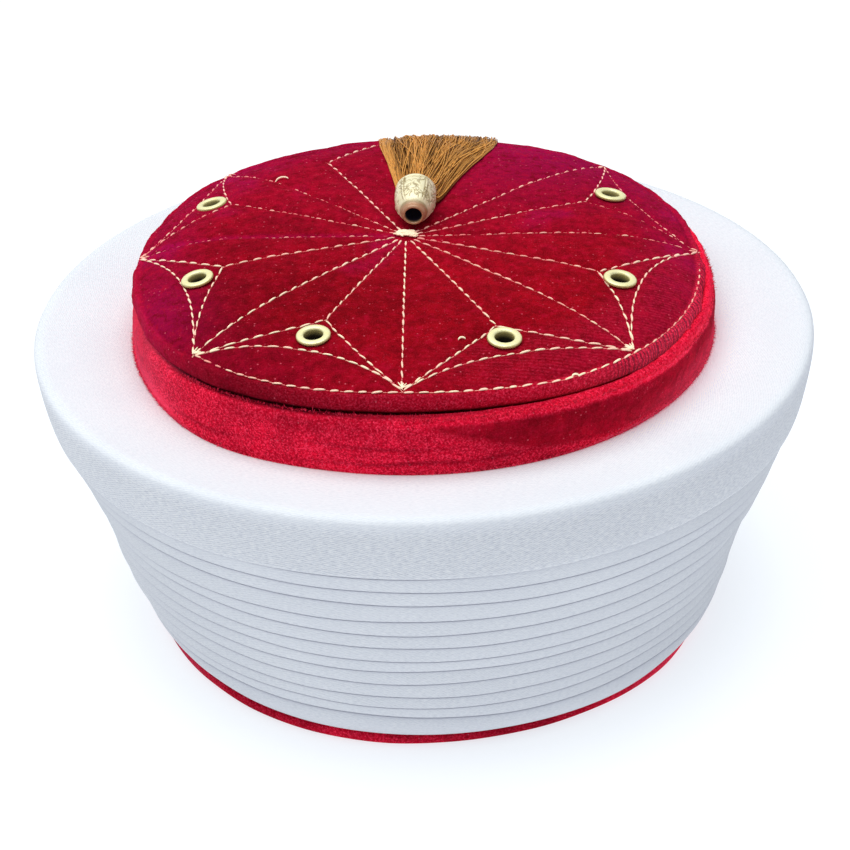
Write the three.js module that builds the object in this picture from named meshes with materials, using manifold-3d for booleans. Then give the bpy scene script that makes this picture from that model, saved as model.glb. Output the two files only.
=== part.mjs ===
// Imam turban: a red velvet cap with a quilted top and six eyelets, wound with white cloth in
// lapped folds, and a thread tassel under a brass bead lying on its top.
// Millimetres, +Z up, the front towards -Y, the origin on the floor under the middle of the cap.
import * as THREE from 'three';
import { mergeVertices } from 'three/addons/utils/BufferGeometryUtils.js';
import Module from 'manifold-3d';

const SEGMENTS = 56;          // facets round each ring
const GAP = 0.3;              // clearance between neighbouring pieces

// Red cap
const HEM_RADIUS = 97;        // rolled hem that the turban stands on
const HEM_HEIGHT = 4.4;
const FOOT_RADIUS = 94.3;     // outside of the side wall just above the hem
const HEAD_RADIUS = 91.7;     // opening for the head
const SHELF_RADIUS = 97.5;    // outside of the side wall where the white shelf meets it
const SHELF_HEIGHT = 103.5;
const LIP_RADIUS = 99.2;      // widest part of the side's lip, above the shelf
const WALL_ROWS = [96, 70, 37];  // extra heights where the wall follows its oval, bulging plan
const SEAT_HEIGHT = 121;      // top of the side's lip, on which the top panel sits
const SEAT_INNER_RADIUS = 93.6;

// Top panel
const PANEL_RADIUS = 93.5;    // circle of the edge stitching
const PANEL_SHIFT = -1.2;     // the panel is sewn a little to the left
const EDGE_HEIGHT = 127.8;    // height of that stitching
const CROWN_HEIGHT = 135;     // middle of the dome
const DOME_POWER = 5;         // a flat middle that falls off near the edge
const PANEL_THICKNESS = 5;
const EDGE_BULGE = 1.8;       // how far the padded edge stands outside its stitching

// The soft cap is a little oval and squared, bulges at the front left, and its upper edge waves
const OVAL = 0.9;
const SQUARE = 1.4;
const WAVE = 1.4;
const BULGE = { out: 3.1, degrees: -131, spread: 18, rise: 7 };  // at the height of the white shelf

// White cloth
const RIM_RADIUS = 130;
const RIM_HEIGHT = 107.4;
const RIM_ROUND = 3;          // radius of the rim's rounded corner
const COVER_THICKNESS = 2;
const COVER_HEMLINE = 1;      // the upper turn thins to this at its lower edge
const LAP_STEP = 0.7;         // how far each fold stands out over the one below
const WRAP_FOOT = 4.7;        // underside of the white cloth, just above the hem

// Lower edge of each lapped fold, from the lowest fold up
const LAPS = [
  { height: 5.0, radius: 98.0 },
  { height: 16.6, radius: 104.2 },
  { height: 22.3, radius: 106.0 },
  { height: 27.4, radius: 107.3 },
  { height: 33.4, radius: 109.0 },
  { height: 39.2, radius: 110.8 },
  { height: 44.6, radius: 112.6 },
  { height: 51.2, radius: 114.8 },
  { height: 57.6, radius: 117.0 },
  { height: 64.1, radius: 119.3 },
  { height: 72.1, radius: 122.1 },
  { height: 78.5, radius: 124.4 },
];
const COVER_EDGE = { height: 84.4, radius: 126.6 };  // lower edge of the smooth upper band

// The lowest fold bellies out between its edge and the next one
const FOOT_BELLY = [
  { height: 8.6, radius: 99.9 },
  { height: 12.6, radius: 102.3 },
];

// Eyelets, anticlockwise from the front left, about the middle of the top panel
const EYELETS = [
  { degrees: -117, radius: 71 },
  { degrees: -69.5, radius: 73.2 },
  { degrees: -26, radius: 71.6 },
  { degrees: 26.3, radius: 74.3 },
  { degrees: 152.2, radius: 79.4 },
  { degrees: 196.2, radius: 75.2 },
];
const EYELET_HOLE = 3;        // inner radius
const EYELET_BARREL = 3.6;    // outer radius of the barrel
const EYELET_FLANGE = 5.4;
const EYELET_SEAT = 0.4;      // height of its flange over the dome
const EYELET_SEGMENTS = 16;

// Bead and tassel
const BEAD_LENGTH = 16.4;
const BEAD_RADIUS = 6.95;
const BEAD_MOUTH = 3.75;      // outer radius of its front ring
const BEAD_BORE = 2.75;
const BEAD_PLACE = { x: -1.6, y: 12.7 };
const BEAD_TURN = -4;         // degrees about +Z
const BEAD_TILT = 7;          // degrees, its mouth lower than its back

// How far the tassel's right and left ends hang back where it bends over the round edge of the
// panel: a lean to the right, and a droop at both ends
const TASSEL_LEAN = 1.7;
const TASSEL_DROOP = 2.3;

// Sections of the tassel, along the thread: place, half width, half thickness, and the share of
// that lean and droop
const TASSEL = [
  { x: -1.4, y: 16.2, z: 142.4, wide: 2.2, thick: 2.2, bend: 0 },
  { x: -1, y: 21.4, z: 143, wide: 2.2, thick: 2.2, bend: 0 },
  { x: -0.9, y: 24, z: 141.4, wide: 6.1, thick: 3.9, bend: 0 },
  { x: -0.2, y: 28, z: 140, wide: 7.1, thick: 3, bend: 0 },
  { x: 0.9, y: 34, z: 138.2, wide: 8.4, thick: 2.3, bend: 0 },
  { x: 2, y: 42, z: 137.4, wide: 10.2, thick: 1.8, bend: 0 },
  { x: 3.1, y: 50, z: 136.8, wide: 12.4, thick: 1.5, bend: 0.03 },
  { x: 5.3, y: 66, z: 135.7, wide: 16.5, thick: 1.2, bend: 0.1 },
  { x: 6.9, y: 80, z: 133.9, wide: 19.9, thick: 1, bend: 0.22 },
  { x: 7.7, y: 88, z: 132.25, wide: 21.2, thick: 0.9, bend: 0.35 },
  { x: 8, y: 94.1, z: 130.45, wide: 21.8, thick: 0.9, bend: 0.8 },
  { x: 8.1, y: 97.4, z: 127.3, wide: 22, thick: 0.9, bend: 1 },
  { x: 8.4, y: 99.2, z: 123.6, wide: 22.2, thick: 0.9, bend: 1 },
  { x: 8.6, y: 101.2, z: 116.4, wide: 22.4, thick: 1, bend: 1 },
  { x: 8.8, y: 102.4, z: 109.2, wide: 22.3, thick: 1, bend: 0.5 },
  { x: 9, y: 107.6, z: 106, wide: 22, thick: 1, bend: 0 },
];
const TASSEL_SIDES = 20;

const MATERIALS = {
  velvet: new THREE.MeshStandardMaterial({ color: 0x8e0a20, roughness: 0.85, metalness: 0 }),
  cloth: new THREE.MeshStandardMaterial({ color: 0xe9ebf2, roughness: 0.9, metalness: 0 }),
  brass: new THREE.MeshStandardMaterial({ color: 0xd8c27a, roughness: 0.3, metalness: 0.9 }),
  thread: new THREE.MeshStandardMaterial({ color: 0xa8742a, roughness: 0.7, metalness: 0 }),
};

const clamp = THREE.MathUtils.clamp;
const point = (radius, height) => new THREE.Vector2(radius, height);

// Outer radius of the cap's side wall between the hem and the shelf
function sideRadius(height) {
  const share = (height - HEM_HEIGHT) / (SHELF_HEIGHT - HEM_HEIGHT);
  return FOOT_RADIUS + share * (SHELF_RADIUS - FOOT_RADIUS);
}

// Inner radius of the side wall, straight from the head opening to the seat of the panel
function hollowRadius(height) {
  return HEAD_RADIUS + (height / SEAT_HEIGHT) * (SEAT_INNER_RADIUS - HEAD_RADIUS);
}

// Height of the dome before the cap settles
function domeHeight(radius) {
  return EDGE_HEIGHT + (CROWN_HEIGHT - EDGE_HEIGHT) * (1 - (radius / PANEL_RADIUS) ** DOME_POWER);
}

// A smooth bump of height 1 that falls to a third a width away from its middle
function bell(away, width) {
  return Math.exp(-((away / width) ** 2));
}

// Moves a point of the round, level shape to its place on the oval, waving cap. The oval grows
// with height up to the shelf, where the bulge stands out, and the squaring and the wave grow from
// there to the lip. All fade out from the cap's wall to the round rim of the white cloth.
function settle(vertex) {
  const radius = Math.hypot(vertex.x, vertex.y);
  const angle = Math.atan2(vertex.y, vertex.x);
  const reach = Math.min(radius / PANEL_RADIUS, 1);
  const fade = clamp((RIM_RADIUS - radius) / (RIM_RADIUS - SHELF_RADIUS), 0, 1);
  const grown = clamp(vertex.z / SHELF_HEIGHT, 0, 1);
  const above = clamp((vertex.z - SHELF_HEIGHT) / (SEAT_HEIGHT - SHELF_HEIGHT), 0, 1);
  const degrees = THREE.MathUtils.radToDeg(angle) - BULGE.degrees;
  const bearing = THREE.MathUtils.euclideanModulo(degrees + 180, 360) - 180;
  const bulge = BULGE.out * bell(bearing, BULGE.spread) * bell(vertex.z - SHELF_HEIGHT, BULGE.rise);
  const plan = -OVAL * grown * Math.cos(2 * angle) - SQUARE * above * Math.cos(4 * angle) + bulge;
  const moved = radius + plan * reach * fade;
  vertex.x = moved * Math.cos(angle);
  vertex.y = moved * Math.sin(angle);
  vertex.z -= WAVE * Math.cos(2 * angle) * reach ** DOME_POWER * fade * above;
  return vertex;
}

// Runs every vertex of a geometry through a function, and leaves one shared vertex at each place
function reshape(geometry, change) {
  geometry.deleteAttribute('normal');
  geometry.deleteAttribute('uv');
  const merged = mergeVertices(geometry, 1e-4);
  const place = merged.getAttribute('position');
  const vertex = new THREE.Vector3();
  for (let i = 0; i < place.count; i += 1) {
    vertex.fromBufferAttribute(place, i);
    change(vertex);
    place.setXYZ(i, vertex.x, vertex.y, vertex.z);
  }
  merged.computeVertexNormals();
  return merged;
}

// Turns a section of radius and height points about +Z
function turned(section, segments) {
  return new THREE.LatheGeometry(section, segments).rotateX(Math.PI / 2);
}

function ring(section, segments = SEGMENTS) {
  return turned([...section, section[0]], segments);
}

function piece(name, geometry, material) {
  const mesh = new THREE.Mesh(geometry, material);
  mesh.name = name;
  return mesh;
}

// Side wall: a rolled hem, a wall that flares a little, and a lip turned in under the top panel
function capSide() {
  const outside = WALL_ROWS.map((height) => point(sideRadius(height), height)).reverse();
  const inside = [SHELF_HEIGHT, ...WALL_ROWS].map((height) => point(hollowRadius(height), height));
  const section = [
    point(HEAD_RADIUS, 0),
    point(HEM_RADIUS - 0.8, 0),
    point(HEM_RADIUS, 1),
    point(HEM_RADIUS, HEM_HEIGHT - 1.2),
    point(HEM_RADIUS - 0.7, HEM_HEIGHT - 0.2),
    point(FOOT_RADIUS, HEM_HEIGHT),
    ...outside,
    point(SHELF_RADIUS, SHELF_HEIGHT),
    point(LIP_RADIUS - 0.5, SEAT_HEIGHT - 10),
    point(LIP_RADIUS, SEAT_HEIGHT - 4),
    point(LIP_RADIUS - 0.7, SEAT_HEIGHT - 1.2),
    point(LIP_RADIUS - 2, SEAT_HEIGHT),
    point(SEAT_INNER_RADIUS, SEAT_HEIGHT),
    ...inside,
  ];
  return piece('cap_side', reshape(ring(section), settle), MATERIALS.velvet);
}

// Top panel: a padded dome with a rounded edge, sitting on the lip
function panelSection() {
  const under = SEAT_HEIGHT + GAP;
  const top = [0, 0.3, 0.5, 0.65, 0.78, 0.88, 0.95, 1].map((share) => {
    const radius = share * PANEL_RADIUS;
    return point(radius, domeHeight(radius));
  });
  const edge = [
    point(PANEL_RADIUS + 0.7 * EDGE_BULGE, EDGE_HEIGHT - 1),
    point(PANEL_RADIUS + EDGE_BULGE, EDGE_HEIGHT - 2.8),
    point(PANEL_RADIUS + 0.8 * EDGE_BULGE, EDGE_HEIGHT - 5),
    point(PANEL_RADIUS + 0.6 * EDGE_BULGE, under),
    point(SEAT_INNER_RADIUS - 0.6, under),
  ];
  const inside = [0.94, 0.85, 0.7, 0.45, 0].map((share) => {
    const radius = share * PANEL_RADIUS;
    return point(radius, domeHeight(radius) - PANEL_THICKNESS);
  });
  return [...top, ...edge, ...inside].reverse();
}

function solid(wasm, geometry) {
  const mesh = new wasm.Mesh({
    numProp: 3,
    vertProperties: new Float32Array(geometry.getAttribute('position').array),
    triVerts: new Uint32Array(geometry.getIndex().array),
  });
  return new wasm.Manifold(mesh);
}

function geometryOf(manifold) {
  const mesh = manifold.getMesh();
  const geometry = new THREE.BufferGeometry();
  geometry.setAttribute('position', new THREE.BufferAttribute(mesh.vertProperties, 3));
  geometry.setIndex(new THREE.BufferAttribute(mesh.triVerts, 1));
  geometry.computeVertexNormals();
  return geometry;
}

// Point on the settled dome at a polar place about the middle of the panel
function onPanel(degrees, radius) {
  const angle = THREE.MathUtils.degToRad(degrees);
  const vertex = new THREE.Vector3(radius * Math.cos(angle), radius * Math.sin(angle), domeHeight(radius));
  return settle(vertex);
}

// Place and turn of an eyelet: its axis stands square to the dome
function eyeletPose({ degrees, radius }) {
  const middle = onPanel(degrees, radius);
  const across = onPanel(degrees + 2, radius).sub(middle);
  const outward = onPanel(degrees, radius + 2).sub(middle);
  const normal = outward.cross(across).normalize();
  const turn = new THREE.Quaternion().setFromUnitVectors(new THREE.Vector3(0, 0, 1), normal);
  return { middle, turn };
}

function capTop(wasm) {
  const blank = reshape(turned(panelSection(), SEGMENTS), settle);
  let panel = solid(wasm, blank);
  for (const row of EYELETS) {
    const { middle, turn } = eyeletPose(row);
    const bit = new THREE.CylinderGeometry(EYELET_BARREL + GAP, EYELET_BARREL + GAP, 20, EYELET_SEGMENTS);
    bit.rotateX(Math.PI / 2).applyQuaternion(turn).translate(middle.x, middle.y, middle.z);
    panel = panel.subtract(solid(wasm, reshape(bit, (vertex) => vertex)));
  }
  return piece('cap_top', geometryOf(panel), MATERIALS.velvet);
}

// Eyelet: a barrel through the panel with a rounded flange on top and a rolled one beneath
function eyelet(row, index) {
  const under = -PANEL_THICKNESS - 2 * GAP;
  const section = [
    point(EYELET_HOLE, under - 1),
    point(EYELET_FLANGE - 0.6, under - 1),
    point(EYELET_FLANGE - 0.6, under - 0.2),
    point(EYELET_BARREL, under),
    point(EYELET_BARREL, EYELET_SEAT),
    point(EYELET_FLANGE, EYELET_SEAT),
    point(EYELET_FLANGE - 0.2, EYELET_SEAT + 0.5),
    point(EYELET_FLANGE - 1.1, EYELET_SEAT + 0.9),
    point(EYELET_HOLE + 0.5, EYELET_SEAT + 0.7),
    point(EYELET_HOLE, EYELET_SEAT),
  ];
  const geometry = reshape(ring(section, EYELET_SEGMENTS), (vertex) => vertex);
  const mesh = piece(`eyelet_${index + 1}`, geometry, MATERIALS.brass);
  const { middle, turn } = eyeletPose(row);
  mesh.position.copy(middle);
  mesh.quaternion.copy(turn);
  return mesh;
}

// Smooth upper turn of the white cloth: over the shelf, round the rim and down the upper band
function wrapCover() {
  const inner = COVER_THICKNESS;
  const start = SHELF_RADIUS + GAP;
  const section = [
    point(start, SHELF_HEIGHT - inner),
    point(RIM_RADIUS - inner - 2, RIM_HEIGHT - inner),
    point(RIM_RADIUS - inner, RIM_HEIGHT - inner - 2.4),
    point(RIM_RADIUS - inner - 1, RIM_HEIGHT - 14),
    point(COVER_EDGE.radius - COVER_HEMLINE, COVER_EDGE.height),
    point(COVER_EDGE.radius, COVER_EDGE.height),
    point(RIM_RADIUS - 1, RIM_HEIGHT - 14),
    point(RIM_RADIUS, RIM_HEIGHT - RIM_ROUND),
    point(RIM_RADIUS - 0.3 * RIM_ROUND, RIM_HEIGHT - 0.3 * RIM_ROUND),
    point(RIM_RADIUS - RIM_ROUND, RIM_HEIGHT),
    point(start, SHELF_HEIGHT),
  ];
  return piece('wrap_cover', reshape(ring(section), settle), MATERIALS.cloth);
}

// Wound cloth under it: a ring against the cap's wall, stepped outside by its lapped folds
function wrapBand() {
  const top = COVER_THICKNESS + GAP;
  const foot = [
    point(sideRadius(WRAP_FOOT) + GAP, WRAP_FOOT),
    point(LAPS[0].radius - 0.8, WRAP_FOOT),
    point(LAPS[0].radius, LAPS[0].height),
    ...FOOT_BELLY.map((row) => point(row.radius, row.height)),
  ];
  const steps = [];
  for (const lap of LAPS.slice(1)) {
    steps.push(point(lap.radius - LAP_STEP, lap.height));
    steps.push(point(lap.radius, lap.height));
  }
  const shoulder = [
    point(COVER_EDGE.radius - COVER_HEMLINE - GAP, COVER_EDGE.height - GAP),
    point(RIM_RADIUS - top - 1, RIM_HEIGHT - 14),
    point(RIM_RADIUS - top, RIM_HEIGHT - top - 2.6),
    point(RIM_RADIUS - top - 2.2, RIM_HEIGHT - top),
    point(SHELF_RADIUS + GAP, SHELF_HEIGHT - top),
  ];
  const inside = WALL_ROWS.map((height) => point(sideRadius(height) + GAP, height));
  const geometry = ring([...foot, ...steps, ...shoulder, ...inside]);
  return piece('wrap_band', reshape(geometry, settle), MATERIALS.cloth);
}

// Bead: a bell whose narrow front ring opens towards the middle of the cap, tipped a little to it
function tasselBead() {
  const half = BEAD_LENGTH / 2;
  const section = [
    point(BEAD_BORE, -half),
    point(BEAD_MOUTH - 0.4, -half - 0.3),
    point(BEAD_MOUTH, -half + 0.6),
    point(BEAD_MOUTH + 0.2, -half + 2),
    point(BEAD_RADIUS - 1.2, -half + 5.5),
    point(BEAD_RADIUS - 0.1, -half + 9),
    point(BEAD_RADIUS, half - 4),
    point(BEAD_RADIUS - 0.3, half - 1.2),
    point(BEAD_RADIUS - 0.9, half),
    point(BEAD_RADIUS - 1.8, half - 0.1),
    point(BEAD_BORE, half - 0.6),
  ];
  const geometry = reshape(ring(section, 20), (vertex) => vertex);
  geometry.rotateX(-Math.PI / 2);
  const mesh = piece('tassel_bead', geometry, MATERIALS.brass);
  mesh.position.set(BEAD_PLACE.x, BEAD_PLACE.y, CROWN_HEIGHT + BEAD_RADIUS);
  mesh.rotation.order = 'ZYX';
  mesh.rotation.x = THREE.MathUtils.degToRad(BEAD_TILT);
  mesh.rotation.z = THREE.MathUtils.degToRad(BEAD_TURN);
  return mesh;
}

// Tassel: an oval section carried along the thread, from inside the bead to the shelf behind
function tassel() {
  const rows = TASSEL.length - 1;
  const sweep = new THREE.CylinderGeometry(1, 1, rows, TASSEL_SIDES, rows);
  const middles = TASSEL.map((row) => new THREE.Vector3(row.x, row.y, row.z));
  const shape = (vertex) => {
    const index = Math.round(vertex.y + rows / 2);
    const row = TASSEL[index];
    const before = middles[Math.max(index - 1, 0)];
    const after = middles[Math.min(index + 1, rows)];
    const along = after.clone().sub(before).normalize();
    const across = new THREE.Vector3(1, 0, 0);
    across.addScaledVector(along, -along.x).normalize();
    const lift = across.clone().cross(along);
    const place = middles[index].clone();
    place.addScaledVector(across, vertex.x * row.wide);
    const hang = row.bend * (TASSEL_LEAN * vertex.x + TASSEL_DROOP * vertex.x ** 2);
    place.addScaledVector(lift, vertex.z * row.thick - hang);
    vertex.copy(place);
  };
  return piece('tassel', reshape(sweep, shape), MATERIALS.thread);
}

const wasm = await Module();
wasm.setup();

const panel = new THREE.Group();
panel.position.x = PANEL_SHIFT;
panel.add(capTop(wasm));
EYELETS.forEach((row, index) => panel.add(eyelet(row, index)));

const turban = new THREE.Group();
turban.add(capSide(), panel, wrapCover(), wrapBand(), tasselBead(), tassel());

export default turban;
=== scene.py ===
"""Looks of an imam turban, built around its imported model.

A red velvet cap with a quilted, eyeleted top, wound with white twill in lapped folds, and a thread
tassel under a brass bead. Every size below is in millimetres until a mesh is made, when MM turns it
into metres. +Z is up and the front is towards -Y.
"""

import math

import bpy
import numpy as np
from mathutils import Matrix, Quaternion, Vector


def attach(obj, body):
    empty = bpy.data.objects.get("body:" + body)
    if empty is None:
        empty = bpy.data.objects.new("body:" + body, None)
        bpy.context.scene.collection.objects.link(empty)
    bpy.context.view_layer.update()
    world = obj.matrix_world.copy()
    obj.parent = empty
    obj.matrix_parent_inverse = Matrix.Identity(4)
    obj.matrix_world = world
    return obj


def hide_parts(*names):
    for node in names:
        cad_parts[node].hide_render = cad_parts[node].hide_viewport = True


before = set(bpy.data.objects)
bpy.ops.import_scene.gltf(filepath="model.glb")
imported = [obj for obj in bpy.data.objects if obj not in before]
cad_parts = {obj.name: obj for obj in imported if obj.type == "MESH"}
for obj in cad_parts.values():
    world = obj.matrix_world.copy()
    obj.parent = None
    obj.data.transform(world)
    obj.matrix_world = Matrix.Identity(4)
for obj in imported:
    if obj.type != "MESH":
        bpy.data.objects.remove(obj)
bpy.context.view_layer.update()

MM = 0.001
TURN = 2 * math.pi

# Camera
CAMERA_PLACE = (0.0, -693.7, 472.1)
CAMERA_AIM = (-0.48, 0.0, 63.08)
CAMERA_ROLL = math.radians(-1.764)
CAMERA_LENS = 98.76

# Floor: half its side, and its height
FLOOR_HALF = 4000
FLOOR_HEIGHT = -0.15

# Red cap
HEM_RADIUS = 97
HEM_HEIGHT = 4.4
FOOT_RADIUS = 94.3
HEAD_RADIUS = 91.7
SHELF_RADIUS = 97.5
SHELF_HEIGHT = 103.5
LIP_RADIUS = 99.2
SEAT_HEIGHT = 121
SEAT_INNER_RADIUS = 93.6
WALL_MM_PER_DEGREE = 1.7

# Top panel
PANEL_RADIUS = 93.5
PANEL_SHIFT = -1.2
EDGE_HEIGHT = 127.8
CROWN_HEIGHT = 135
DOME_POWER = 5
PANEL_THICKNESS = 5
EDGE_BULGE = 1.8
COMB_SPACING = 1.5            # of the strokes across the sewn edge

# How the soft cap settles out of round
OVAL = 0.9
BULGE = (3.1, -131, 18)       # the wall stands out by this, at this bearing, over this spread
SQUARE = 1.4
WAVE = 1.4

# White cloth
RIM_RADIUS = 130
RIM_HEIGHT = 107.4
RIM_ROUND = 3
COVER_THICKNESS = 2
COVER_EDGE = (84.4, 126.6)
WRAP_FOOT = 4.7

# Lower edge of each lapped fold: height, radius
LAPS = np.array([
    (5.0, 98.0), (16.6, 104.2), (22.3, 106.0), (27.4, 107.3), (33.4, 109.0), (39.2, 110.8),
    (44.6, 112.6), (51.2, 114.8), (57.6, 117.0), (64.1, 119.3), (72.1, 122.1), (78.5, 124.4),
])
LAP_ROUND = 0.40
LOW_LAPS_IN = {0: 2.3, 1: 1.5, 2: 0.8}      # how far the lowest laps draw in at the left
LAP_FACE = [                                # rows up a lap's face: share of the way, painted shade of the crease
    (0.14, 0), (0.34, 0), (0.55, 0.02), (0.72, 0.05), (0.84, 0.12), (0.92, 0.26), (0.96, 0.5),
    (1.0, 0.8),
]

# Eyelets about the middle of the top panel: degrees, radius
EYELETS = [(-117, 71), (-69.5, 73.2), (-26, 71.6), (26.3, 74.3), (152.2, 79.4), (196.2, 75.2)]
EYELET_HOLE = 3
EYELET_FLANGE = 5.4
EYELET_SEAT = 0.4
EYELET_BIT = 4.1

# Star of stitching, anticlockwise from the front left: degrees, radius
STAR_TIPS = [
    (-138, 93.0), (-93.6, 92.6), (-46.6, 93.4), (0.6, 95.6),
    (45, 94.0), (92, 94.2), (134, 95.6), (175.2, 95.6),
]
STAR_CORNERS = [
    (-118, 61), (-69, 65), (-24.3, 63.5), (25, 63.6),
    (69, 67), (115.4, 71.3), (151.8, 71.8), (192.5, 66),
]
STAR_BOWS = [
    (-117, 77.6), (-69.5, 80.2), (-25, 77.7), (26, 80.7),
    (67, 86), (113, 87), (152, 85.2), (195, 80.2),
]
STAR_PARTS = ("bow", "left", "right", "middle", "ray")     # the five lines of each kite
SUNK = {                      # how far lines sink into the pile: 1 is out of sight
    (0, "middle"): 0.08, (1, "middle"): 0.08, (2, "middle"): 0.3, (2, "ray"): 0.28,
    (3, "bow"): 0.62, (3, "left"): 0.8, (3, "middle"): 0.28, (3, "ray"): 0.6,
    (4, "bow"): 1, (4, "left"): 1, (4, "right"): 1, (4, "middle"): 1, (4, "ray"): 0.25,
    (5, "bow"): 1, (5, "right"): 1, (5, "ray"): 1,
    (6, "bow"): 0.3, (6, "right"): 0.35, (6, "middle"): 0.6, (6, "ray"): 0.65,
    (7, "middle"): 0.2, (7, "ray"): 0.85,
}
LOOSE_ENDS = [                # degrees, radius, heading, length
    (133, 67.2, 5, 4.4), (-61.2, 95.4, 20, 2.4), (-79.6, 71.1, 15, 2.2),
]
EDGE_SEAM = np.array([        # the ring sewn round the front of the panel: degrees, radius
    (-138, 92.4), (-126, 93.0), (-110, 93.3), (-96, 93.1), (-85, 93.5), (-74, 94.4), (-64, 95.2),
    (-52, 94.5), (-36, 94.1), (-16, 94.7), (-4, 95.0),
])
KNOT = (-3.6, 1.9)            # where the sixteen rays meet, about the middle of the panel
KNOT_CLEAR = 3.0
KNOT_STITCHES = 40
KITE_BOW = -1.6
BOLD_TIPS = (0, 1, 2)
STITCH_PITCH = 4.5
STITCH_LENGTH = 3.45
THREAD_RADIUS = 0.30
STITCH_ROWS = 9
STITCH_SIDES = 6
FUZZ_RADIUS = 0.13

# Padding under the top: a square grid of cloth
PADDING_CELL = 2.4
PADDING_GRID = np.arange(-40, 41) * PADDING_CELL
PADDING_FRAMES = 20
SEWN_CELLS = 0.72             # cloth this near to a seam is sewn down

# Bead
BEAD_LENGTH = 16.4
BEAD_RADIUS = 6.95
BEAD_MOUTH = 3.75
BEAD_BORE = 2.75
BEAD_PETALS = 5
BEAD_LEAVES = 230
BEAD_PLACE = (-1.6, 12.7, CROWN_HEIGHT + BEAD_RADIUS)
BEAD_TURN = math.radians(-4)
BEAD_TILT = math.radians(7)

# Run of the tassel over the panel: distance back, middle, half width, half thickness
TASSEL_FAN = np.array([
    (20.6, -1.1, 5.6, 4.4), (24, -0.9, 6.1, 3.9), (28, -0.2, 7.1, 3.0), (34, 0.9, 8.4, 2.3),
    (42, 2.0, 10.2, 1.8), (50, 3.1, 12.4, 1.5), (58, 4.2, 14.4, 1.3), (66, 5.3, 16.5, 1.15),
    (74, 6.2, 18.6, 1.0), (80, 6.9, 19.9, 0.9), (88, 7.3, 20.6, 0.8),
])

# Then its fall over the edge to the shelf: radius and height of its underside, middle, half width
TASSEL_FALL = np.array([
    (93.0, 129.4, 7.2, 20.9), (95.2, 128.1, 7.3, 21.0), (96.3, 125.4, 7.6, 21.3),
    (97.9, 122.4, 7.9, 21.7), (99.8, 120.2, 8.2, 22.0), (100.2, 116, 8.5, 22.2),
    (100.6, 110, 8.8, 22.3), (102.6, 105.6, 8.9, 22.2),
    (108.2, 105.0, 9.0, 22.0),
])
TASSEL_FALL_DEPTH = 0.75
TASSEL_THREADS = 600
TASSEL_THREAD_RADIUS = 0.22
TASSEL_LOCKS = 40
TASSEL_LOOSE = 26             # threads that stray over the rest
TASSEL_OUTER = 50             # threads set at the left edge


# ---------------------------------------------------------------- camera, light and floor

def link(made):
    """Puts a new object in the scene."""
    bpy.context.scene.collection.objects.link(made)
    return made


def make_camera():
    data = bpy.data.cameras.new("camera")
    data.lens = CAMERA_LENS
    camera = link(bpy.data.objects.new("camera", data))
    place, aim = Vector(CAMERA_PLACE) * MM, Vector(CAMERA_AIM) * MM
    camera.rotation_mode = "QUATERNION"
    camera.location = place
    facing = (aim - place).to_track_quat("-Z", "Y")
    camera.rotation_quaternion = facing @ Quaternion((0, 0, 1), CAMERA_ROLL)
    bpy.context.scene.camera = camera


def make_light():
    """An even grey sky and one large soft lamp overhead, a little to the front left."""
    world = bpy.data.worlds.new("studio")
    bpy.context.scene.world = world
    world.use_nodes = True
    background = world.node_tree.nodes["Background"]
    background.inputs["Color"].default_value = (0.325, 0.345, 0.39, 1)
    background.inputs["Strength"].default_value = 1.0
    lamp = bpy.data.lights.new("overhead", "AREA")
    lamp.shape, lamp.size, lamp.energy, lamp.color = "DISK", 2.4, 41, (0.975, 1.0, 0.965)
    light = link(bpy.data.objects.new("overhead", lamp))
    light.location = (-0.35, -0.25, 1.9)
    light.rotation_euler = (math.radians(-7), math.radians(-10), 0)


def make_floor():
    corners = [(x * FLOOR_HALF, y * FLOOR_HALF, FLOOR_HEIGHT)
               for x, y in ((-1, -1), (1, -1), (1, 1), (-1, 1))]
    make_mesh("floor", np.array(corners, float), np.array([(0, 1, 2, 3)]), floor_white())


# ---------------------------------------------------------------- shapes by arrays

def grid_faces(rows, columns, closed_rows=False, closed_columns=False):
    """Quads between neighbouring rows and columns of a grid of points numbered row by row."""
    row = np.arange(rows if closed_rows else rows - 1)[:, None]
    column = np.arange(columns if closed_columns else columns - 1)[None, :]
    up, across = (row + 1) % rows, (column + 1) % columns
    quads = [row * columns + column, row * columns + across, up * columns + across,
             up * columns + column]
    return np.stack(np.broadcast_arrays(*quads), axis=-1).reshape(-1, 4)


def repeated(faces, count, points_each):
    """The faces of one small shape, for count copies whose points follow each other."""
    starts = np.arange(count)[:, None, None] * points_each
    return (faces + starts).reshape(-1, faces.shape[-1])


def plain_mesh(name, points, quads, triangles=None):
    """An object made of points in millimetres."""
    faces = quads.tolist() + ([] if triangles is None else triangles.tolist())
    mesh = bpy.data.meshes.new(name)
    mesh.from_pydata((points * MM).tolist(), [], faces)
    return link(bpy.data.objects.new(name, mesh))


def make_mesh(name, points, quads, material, triangles=None, marks=None):
    """A smooth mesh with its material; marks are named values on its points."""
    made = plain_mesh(name, points, quads, triangles)
    made.data.shade_smooth()
    for mark, values in (marks or {}).items():
        layer = made.data.attributes.new(mark, "FLOAT", "POINT")
        layer.data.foreach_set("value", values.astype(np.float32))
    made.data.materials.append(material)
    return made


def evaluated(made):
    """An object as its modifiers leave it."""
    return made.evaluated_get(bpy.context.evaluated_depsgraph_get())


def piece(name, points, quads, material, replaces=None, slot=None, **more):
    """A mesh that rides on the turban and may stand for a CAD node."""
    made = make_mesh(name, points, quads, material, **more)
    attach(made, "root")
    if replaces:
        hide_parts(replaces)
    return made


def spread(marks, shape):
    """Marks given for a whole grid of points, its rows or its columns, as one value a point."""
    return {mark: np.broadcast_to(value, shape.shape[:2]).ravel() for mark, value in marks.items()}


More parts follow.
